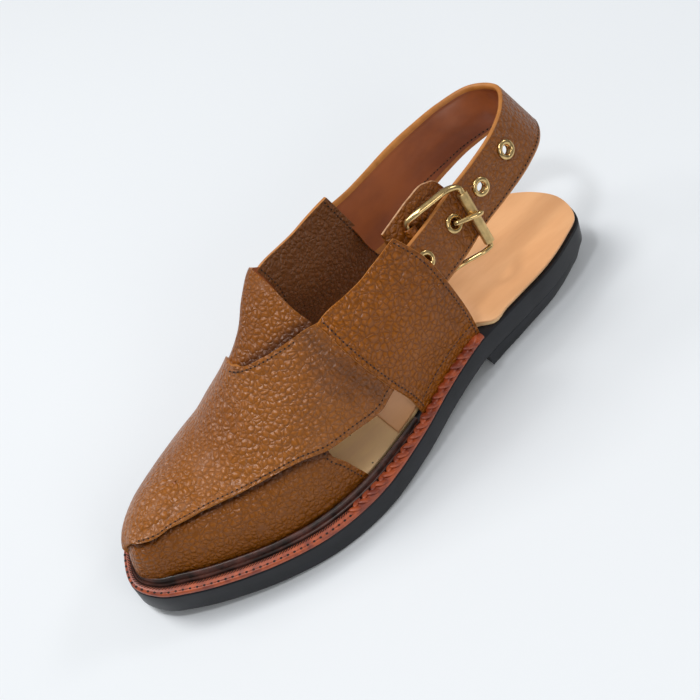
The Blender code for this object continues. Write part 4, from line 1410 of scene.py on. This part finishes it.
def edge_line(share, lift, start, end):
    """Points on the sole's top at a share of the margin, lateral to medial."""
    _, t = outline_loop()
    tip = int(np.argmax(t))
    side = np.arange(len(t)) <= tip
    ix, it = inset_loop(margin() * share)
    inside = np.where(side, t > start * LENGTH, t > end * LENGTH)
    points = place(np.stack([ix, it, sole_top(it) + lift], -1)[inside])
    return points, np.tile([0.0, 0.0, 1.0], (len(points), 1))


def build_welt_work():
    """Stitches and slits on the welt at the toe, and the braid at the waist."""
    points, normals = edge_line(0.17, WELT + 0.0001, 0.66, 0.60)
    seam("welt_seam", points, normals, WELT_PITCH, "thread_red", 1.35)
    points, normals = edge_line(0.43, WELT + 0.0001, 0.60, 0.55)
    middle, along, normal = spaced(points, normals, SLIT_PITCH)
    across = np.cross(normal, along)
    way = along * SLIT_WAY[0] + across * SLIT_WAY[1]
    side = np.cross(normal, way)
    halves = np.stack([way * SLIT[0], side * SLIT[1], normal * SLIT[2]], 1)
    # The slits are flat pads of painted shade.
    pads("welt_slits", middle, halves, "hole", 6, 3)
    middles = []
    axes = []
    long, wide, high = BRAID_LEAF
    for start, end, lateral in ((WELT_START + 0.008, 0.66, True), (WELT_END + 0.008, 0.60, False)):
        for share, lean in BRAID_ROWS:
            points, normals = edge_line(share, WELT + 0.0004, 0.0, 0.0)
            run = (HEEL_CENTRE - points[:, 1]) / LENGTH
            on_lateral = np.arange(len(points)) <= int(np.argmax(run))
            inside = (on_lateral == lateral) & (run > start) & (run < end)
            middle, along, normal = spaced(points[inside], normals[inside], BRAID_PITCH)
            if lean < 0:
                middle = middle + along * BRAID_PITCH / 2
            across = np.cross(normal, along)
            way = along * BRAID_WAY[0] + across * BRAID_WAY[1] * lean
            side = np.cross(normal, way)
            size = np.linspace(*BRAID_TAPER, len(middle))[:: 1 if lateral else -1, None]
            leaf = [(way * long + normal * BRAID_TILT) * size, side * wide * size, normal * high * size]
            middles.append(middle)
            axes.append(np.stack(leaf, 1))
    pads("welt_braid", np.concatenate(middles), np.concatenate(axes), "welt", 12, 7)


# Heel strap's section, outside round to inside: across share, out share,
# finish (0 grained outside, 1 folded edge, 2 smooth lining).
STRAP_RING = (
    (-0.94, 1.00, 0),
    (-0.88, 1.02, 0),
    (-0.80, 1.06, 0),
    (-0.60, 1.08, 0),
    (-0.30, 1.08, 0),
    (0.00, 1.08, 0),
    (0.30, 1.08, 0),
    (0.60, 1.06, 0),
    (0.84, 1.00, 0),
    (0.92, 0.90, 1),
    (0.985, 0.55, 1),
    (1.00, 0.00, 1),
    (0.985, -0.55, 1),
    (0.93, -0.90, 1),
    (0.86, -1.00, 2),
    (0.70, -1.02, 2),
    (0.50, -1.02, 2),
    (0.30, -1.02, 2),
    (0.10, -1.02, 2),
    (-0.10, -1.02, 2),
    (-0.30, -1.02, 2),
    (-0.50, -1.02, 2),
    (-0.68, -1.00, 2),
    (-0.76, -0.92, 2),
    (-0.80, -1.10, 1),
    (-0.86, -1.18, 1),
    (-0.94, -1.10, 1),
    (-0.99, -0.70, 1),
    (-1.01, 0.00, 1),
    (-0.99, 0.65, 1),
)
# Long soft fold in the strap's lining: place along the strap, across share.
LINING_FOLD = (
    (0.020, 0.30),
    (0.060, 0.05),
    (0.085, 0.22),
    (0.115, -0.05),
    (0.150, 0.15),
    (0.185, -0.10),
    (0.215, 0.10),
)


def build_heel_sling():
    s, line, _, down, out = heel_strap_frames(STRAP_RUN)
    half = STRAP_WIDTH / 2
    thick = STRAP_THICK / 2
    fold = column(LINING_FOLD, 0, 1, s)
    rings = []
    for a, b, _ in STRAP_RING:
        swell = np.zeros(len(s))
        if b < -0.9 and abs(a) < 0.7:
            swell = 0.00055 * np.exp(-(((a - fold) / 0.13) ** 2))
        wave = 0.00025 * np.sin(s * 95) * (abs(a) > 0.8)
        thin = thick * (1 - 0.55 * np.exp(-((s / 0.030) ** 4)))
        wide = half * (1 + 0.56 * np.exp(-((s / 0.060) ** 2)) * (a > 0))
        rings.append(line + down * (a * wide + wave)[:, None] + out * (b * thin - swell)[:, None])
    skins = ("tan_fine", "edge", "lining")
    kinds = [k for _, _, k in STRAP_RING]
    rings = place(np.stack(rings, 1))
    sling = swept("heel_sling", rings, skins, kinds, angle=60, replaces=("heel_strap",))
    tuck = 0.0035 / LENGTH
    edges = tuple((rise, 0.56, rear - tuck) for rise, _, rear in MEDIAL_STRAP)
    share = np.linspace(0, 1, 11)
    rise = np.linspace(0, 1, 13)
    block = []
    for u in share:
        reach, girth = strap_spot(edges, ((0.0, 0.95), (1.0, 0.95)), -1, u, rise)
        block.append(wall_out(reach, girth, 0.008))
    block = np.array(block)
    skins = ("lining", "lining", "lining")
    cutter = leather_sheet("strap_end", [block], [np.zeros(block.shape[:2])], 0.016, skins)
    cut_with(sling, cutter)
    for number, at in enumerate(EYELETS_AT, 1):
        wide = EYELET_BARREL + GAP
        profile = ((0.0, -0.004), (wide, -0.004), (wide, 0.004), (0.0, 0.004))
        hole = across_strap(f"hole_{number}", profile, at, "hole")
        cut_with(sling, hole)
    sling.data.shade_smooth()
    sling.data.set_sharp_from_angle(angle=np.radians(60))
    _, line, _, down, out = heel_strap_frames(400)
    s = np.linspace(0, STRAP_FRAMES[0][-1], 400)
    keep = (s > 0.034) & (s < STRAP_FRAMES[0][-1] - 0.014)
    for name, way in (("sling_seam", out), ("sling_inner_seam", -out)):
        low = place(line + down * (half - 0.0021) + way * thick)
        seam(name, low[keep], (place(line + way) - place(line))[keep])


def cut_with(obj, cutter):
    """Cuts a helper's shape from a piece, and removes the helper."""
    cut = obj.modifiers.new("cut", "BOOLEAN")
    cut.operation = "DIFFERENCE"
    cut.solver = "EXACT"
    cut.object = cutter
    settle(obj)
    bpy.data.objects.remove(cutter)


def turned(name, profile, origin, spin, side, skin, steps, replaces=()):
    """A profile of (radius, height) turned round the line through origin."""
    third = np.cross(spin, side)
    rings = []
    for k in range(steps):
        angle = 2 * np.pi * k / steps
        way = side * np.cos(angle) + third * np.sin(angle)
        rings.append([origin + way * r + spin * h for r, h in profile])
    return swept(name, rings, (skin,), [0] * len(profile), True, 35, replaces)


def axes_at(middle, end, beside):
    """Unit ways from middle to end, and square to it towards beside."""
    spin = end - middle
    spin /= np.linalg.norm(spin)
    side = beside - middle
    side -= spin * (side @ spin)
    return spin, side / np.linalg.norm(side)


def across_strap(name, profile, at, skin, replaces=()):
    """A turned piece that stands through the strap."""
    origin = strap_point(at, EYELET_ACROSS)
    spin = strap_point(at, EYELET_ACROSS, 1.0) - origin
    side = strap_point(at, EYELET_ACROSS + 1.0) - origin
    return turned(name, profile, origin, spin, side, skin, 40, replaces)


def build_eyelets():
    thick = STRAP_THICK / 2
    base = thick + EYELET_GAP - 0.0004
    lip = base + EYELET_LIP + 0.0003
    turn = np.linspace(0, np.pi, 9)
    middle = (EYELET_HOLE + EYELET_FLANGE) / 2
    half = (EYELET_FLANGE - EYELET_HOLE) / 2
    crest = [(middle + half * np.cos(a), base + (lip - base) * np.sin(a)) for a in turn]
    under = [(r, -z) for r, z in crest[::-1]]
    profile = under + [(EYELET_HOLE - 0.0001, 0.0)] + crest[::-1]
    profile += [(EYELET_BARREL, base), (EYELET_BARREL, -base)]
    for number, at in enumerate(EYELETS_AT, 1):
        across_strap(f"eyelet_ring_{number}", profile, at, "brass", (f"eyelet_{number}",))


def wire(name, path, radii, closed, skin, replaces=(), flat=1.0, around=20):
    """A wire along a path; flat squeezes its section along the strap's out."""
    path = np.array(path)
    ahead = np.roll(path, -1, axis=0) - np.roll(path, 1, axis=0)
    if not closed:
        ahead[0] = path[1] - path[0]
        ahead[-1] = path[-1] - path[-2]
    ahead /= np.linalg.norm(ahead, axis=1, keepdims=True)
    out = buckle_point(0, 0, 1.0) - buckle_point(0, 0, 0.0)
    side = np.cross(ahead, out)
    weak = np.linalg.norm(side, axis=1) < 0.2
    side[weak] = np.cross(ahead[weak], buckle_point(0, 1.0, 0) - buckle_point(0, 0, 0))
    for k in range(1, len(side)):
        if side[k] @ side[k - 1] < 0:
            side[k] = -side[k]
    side /= np.linalg.norm(side, axis=1, keepdims=True)
    up = np.cross(side, ahead)
    radii = np.broadcast_to(np.asarray(radii, float), len(path))
    rings = []
    for p, s, u, r in zip(path, side, up, radii):
        turn = np.linspace(0, 2 * np.pi, around, endpoint=False)
        rings.append([p + s * r * np.cos(a) + u * r * flat * np.sin(a) for a in turn])
    return swept(name, rings, (skin,), [0] * around, closed, 50, replaces)


def build_buckle():
    """The frame, with its upper arm bowed outwards, the roller and the prong."""
    half = FRAME_HALF
    far = FRAME_LONG
    high = ROLLER_OUT
    corners = (
        (buckle_point(0, -half - 0.0012, high), 0.0019),
        (buckle_point(0, half, high), 0.0019),
        (buckle_point(0.005, half, high - 0.001), 0.0015),
        (buckle_point(0.016, half, BAR_OUT), 0.0040),
        (buckle_point(far, half, BAR_OUT), 0.0030),
        (buckle_point(far + 0.0012, -half, BAR_OUT), 0.0030),
        (buckle_point(0.0240, -half - 0.0022, 0.0), 0.0035),
        (buckle_point(0.0060, -half - 0.0040, high), 0.0040),
    )
    path = rounded(corners, 12, True)
    middle = buckle_point(0, 0, high)
    spin = buckle_point(0, 1.0, high) - middle
    along = (np.array(path) - middle) @ (spin / np.linalg.norm(spin))
    radii = np.interp(along, (-0.016, -0.006), (FRAME_THICK, FRAME_THIN))
    wire("frame_wire", path, radii, True, "brass", ("buckle_frame",), 1.25)
    end = ROLLER_LONG / 2
    lip = 0.0003
    profile = (
        (ROLLER_INNER, -end),
        (ROLLER_OUTER - lip, -end),
        (ROLLER_OUTER, -end + lip),
        (ROLLER_OUTER, end - lip),
        (ROLLER_OUTER - lip, end),
        (ROLLER_INNER, end),
    )
    middle = (buckle_point(0, end, high) + buckle_point(0, -end, high)) / 2
    spin, side = axes_at(middle, buckle_point(0, end, high), buckle_point(0.01, 0, high))
    turned("roller_tube", profile, middle, spin, side, "brass_matt", 14, ("buckle_roller",))
    turn = np.radians(BUCKLE_TURN)
    forward = EYELETS_AT[2] - ROLLER_AT
    across = EYELET_ACROSS - ROLLER_ACROSS
    ahead = forward * np.cos(turn) - across * np.sin(turn)
    along = forward * np.sin(turn) + across * np.cos(turn)
    over = ROLLER_OUT + ROLLER_OUTER + PRONG + 2.5 * GAP
    end = FRAME_LONG - WIRE - PRONG - GAP
    path = (
        (buckle_point(end, along, BAR_OUT), 0.001),
        (buckle_point(ahead + 0.0036, along, BAR_OUT), 0.0020),
        (buckle_point(ahead + 0.0002, along, -0.0036), 0.0008),
        (buckle_point(ahead - 0.0002, along, 0.0032), 0.0008),
        (buckle_point(0.0036, along + 0.0008, over - 0.0012), 0.0022),
        (buckle_point(0.0, along + 0.0014, over), 0.0018),
        (buckle_point(-0.0030, along + 0.0018, over - 0.0010), 0.001),
    )
    path = rounded(path, 9, False)
    radii = np.full(len(path), PRONG_THICK)
    radii[-1] *= 0.55
    radii[-2] *= 0.95
    wire("prong_wire", path, radii, False, "brass", ("buckle_prong",))


def build_chape():
    """The flap behind the buckle, with two loops round the frame's bar."""
    rows = np.array(CHAPE)
    ahead = np.linspace(rows[0, 0], rows[-1, 0], 70)
    upper = cubic(rows[:, 0], rows[:, 1], ahead)
    lower = cubic(rows[:, 0], rows[:, 2], ahead)
    share = np.linspace(0, 1, 24)
    rim = np.linspace(0, np.pi, 5)[1:-1]
    half = CHAPE_SKIN / 2
    bulge = half * 0.6
    centre = FLAP_OUT - half
    rings = []
    for e, u, v in zip(ahead, upper, lower):
        ring = [(u + (v - u) * k, FLAP_OUT) for k in share]
        ring += [(v + bulge * np.sin(a), centre + half * np.cos(a)) for a in rim]
        ring += [(v + (u - v) * k, FLAP_OUT - CHAPE_SKIN) for k in share]
        ring += [(u - bulge * np.sin(a), centre - half * np.cos(a)) for a in rim]
        rings.append([buckle_point(e, along, out) for along, out in ring])
    kinds = 2 * ([0] * (len(share) - 1) + [1] * (len(rim) + 1))
    chape = swept("chape_flap", rings, ("tan", "raw"), kinds, False, 50, ("buckle_chape",))
    low_in = WIRE + LOOP_SLACK
    high = low_in + CHAPE_SKIN
    for number, (start, run) in enumerate(CHAPE_LOOPS, 1):
        low = buckle_point(FRAME_LONG, start, BAR_OUT)
        end = buckle_point(FRAME_LONG, start + run, BAR_OUT)
        spin, side = axes_at(low, end, buckle_point(0, start, BAR_OUT))
        profile = (
            (low_in, 0.0),
            (high - 0.0003, 0.0),
            (high, 0.0003),
            (high, run - 0.0003),
            (high - 0.0003, run),
            (low_in, run),
        )
        turned(f"chape_loop_{number}", profile, low, spin, side, "tan_fine", 32)


# Camera of the photograph: place, and its right, down and forward ways.
CAMERA_AT = (0.42367, -0.26567, 0.57192)
CAMERA_WAYS = (
    (0.628349, 0.729468, -0.270285),
    (0.485079, -0.639022, -0.596951),
    (-0.608174, 0.243984, -0.755378),
)
LENS = 74.71


def build_camera():
    camera = bpy.data.cameras.new("camera")
    camera.lens = LENS
    camera.sensor_width = 36
    camera.clip_start = 0.01
    obj = bpy.data.objects.new("camera", camera)
    bpy.context.scene.collection.objects.link(obj)
    right, down, forward = (np.array(way) for way in CAMERA_WAYS)
    turn = Matrix.Identity(4)
    for k in range(3):
        turn[k][0] = right[k]
        turn[k][1] = -down[k]
        turn[k][2] = -forward[k]
        turn[k][3] = CAMERA_AT[k]
    obj.matrix_world = turn
    bpy.context.scene.camera = obj


# Lights: a wide sun by its way, then area lights with place, size, power, colour.
SUN = ("key", (-0.42, -0.22, 0.88), 26, 0.92)
AREA_LIGHTS = (
    ("window", (-0.70, -0.50, 0.90), 0.40, 4.2, (1.0, 0.98, 0.95)),
    ("strip", (0.10, 0.75, 0.75), 0.22, 1.3, (1.0, 1.0, 1.0)),
    ("side", (0.66, -0.12, 0.46), 0.30, 0.85, (1.0, 0.97, 0.93)),
    ("glint", (0.03, -0.30, 0.87), 0.10, 1.4, (1.0, 1.0, 1.0)),
)
LIGHTS_AIM = (0.0, -0.09, 0.05)
WORLD_STRENGTH = 0.36
FLOOR_REACH = 6.0
FLOOR_UNDER = 0.0002


def hung(light, at, back):
    """A light's object at a place, shining away from back."""
    obj = bpy.data.objects.new(light.name, light)
    bpy.context.scene.collection.objects.link(obj)
    back = np.array(back, float)
    back /= np.linalg.norm(back)
    side = np.cross((0.0, 1.0, 0.0), back)
    side /= np.linalg.norm(side)
    up = np.cross(back, side)
    turn = Matrix.Identity(4)
    for k in range(3):
        turn[k][0] = side[k]
        turn[k][1] = up[k]
        turn[k][2] = back[k]
        turn[k][3] = at[k]
    obj.matrix_world = turn


def build_lights():
    name, way, angle, power = SUN
    sun = bpy.data.lights.new(name, "SUN")
    sun.energy = power
    sun.angle = np.radians(angle)
    hung(sun, (0.0, 0.0, 0.0), way)
    for name, at, size, power, colour in AREA_LIGHTS:
        light = bpy.data.lights.new(name, "AREA")
        light.energy = power
        light.size = size
        light.color = colour
        hung(light, at, np.array(at) - np.array(LIGHTS_AIM))


def build_stage():
    """Plain floor, grey-to-white world and the standard view."""
    work = bmesh.new()
    lines = np.linspace(-FLOOR_REACH, FLOOR_REACH, 25)
    verts = [[work.verts.new((x, y, -FLOOR_UNDER)) for y in lines] for x in lines]
    for i in range(len(lines) - 1):
        for j in range(len(lines) - 1):
            work.faces.new((verts[i][j], verts[i + 1][j], verts[i + 1][j + 1], verts[i][j + 1]))
    mesh = bpy.data.meshes.new("floor")
    work.to_mesh(mesh)
    work.free()
    floor = bpy.data.objects.new("floor", mesh)
    bpy.context.scene.collection.objects.link(floor)
    made, tree, shader = blank("pale_floor", 0.9)
    shader.inputs["Specular IOR Level"].default_value = 0.1
    grey = noise(tree, object_spot(tree), 3.0, 2.0).outputs["Fac"]
    tone = blend_colour(tree, grey, FLOOR_DARK, FLOOR)
    tree.links.new(tone, shader.inputs["Base Color"])
    mesh.materials.append(made)
    world = bpy.data.worlds.new("studio")
    bpy.context.scene.world = world
    world.use_nodes = True
    tree = world.node_tree
    back = tree.nodes["Background"]
    back.inputs["Strength"].default_value = WORLD_STRENGTH
    way = node(tree, "ShaderNodeTexCoord").outputs["Generated"]
    high = node(tree, "ShaderNodeSeparateXYZ", {"Vector": way}).outputs["Z"]
    share = spread(tree, high, -0.15, 0.85, 0.0, 1.0)
    tone = blend_colour(tree, share, WORLD_LOW, WORLD_HIGH)
    tree.links.new(tone, back.inputs["Color"])
    build_lights()
    bpy.context.scene.view_settings.view_transform = "Standard"


build_camera()
build_stage()
build_soles()
build_strips()
build_welt_work()
build_under_panel()
build_over_panel()
build_side_strap("lateral_side_strap", LATERAL_STRAP, LATERAL_TOP, 1, LATERAL_OUT, STRAP_CREASES)
build_side_strap("medial_side_strap", MEDIAL_STRAP, MEDIAL_TOP, -1, MEDIAL_OUT, STRAP_CREASES)
build_seams()
build_heel_sling()
build_eyelets()
build_buckle()
build_chape()
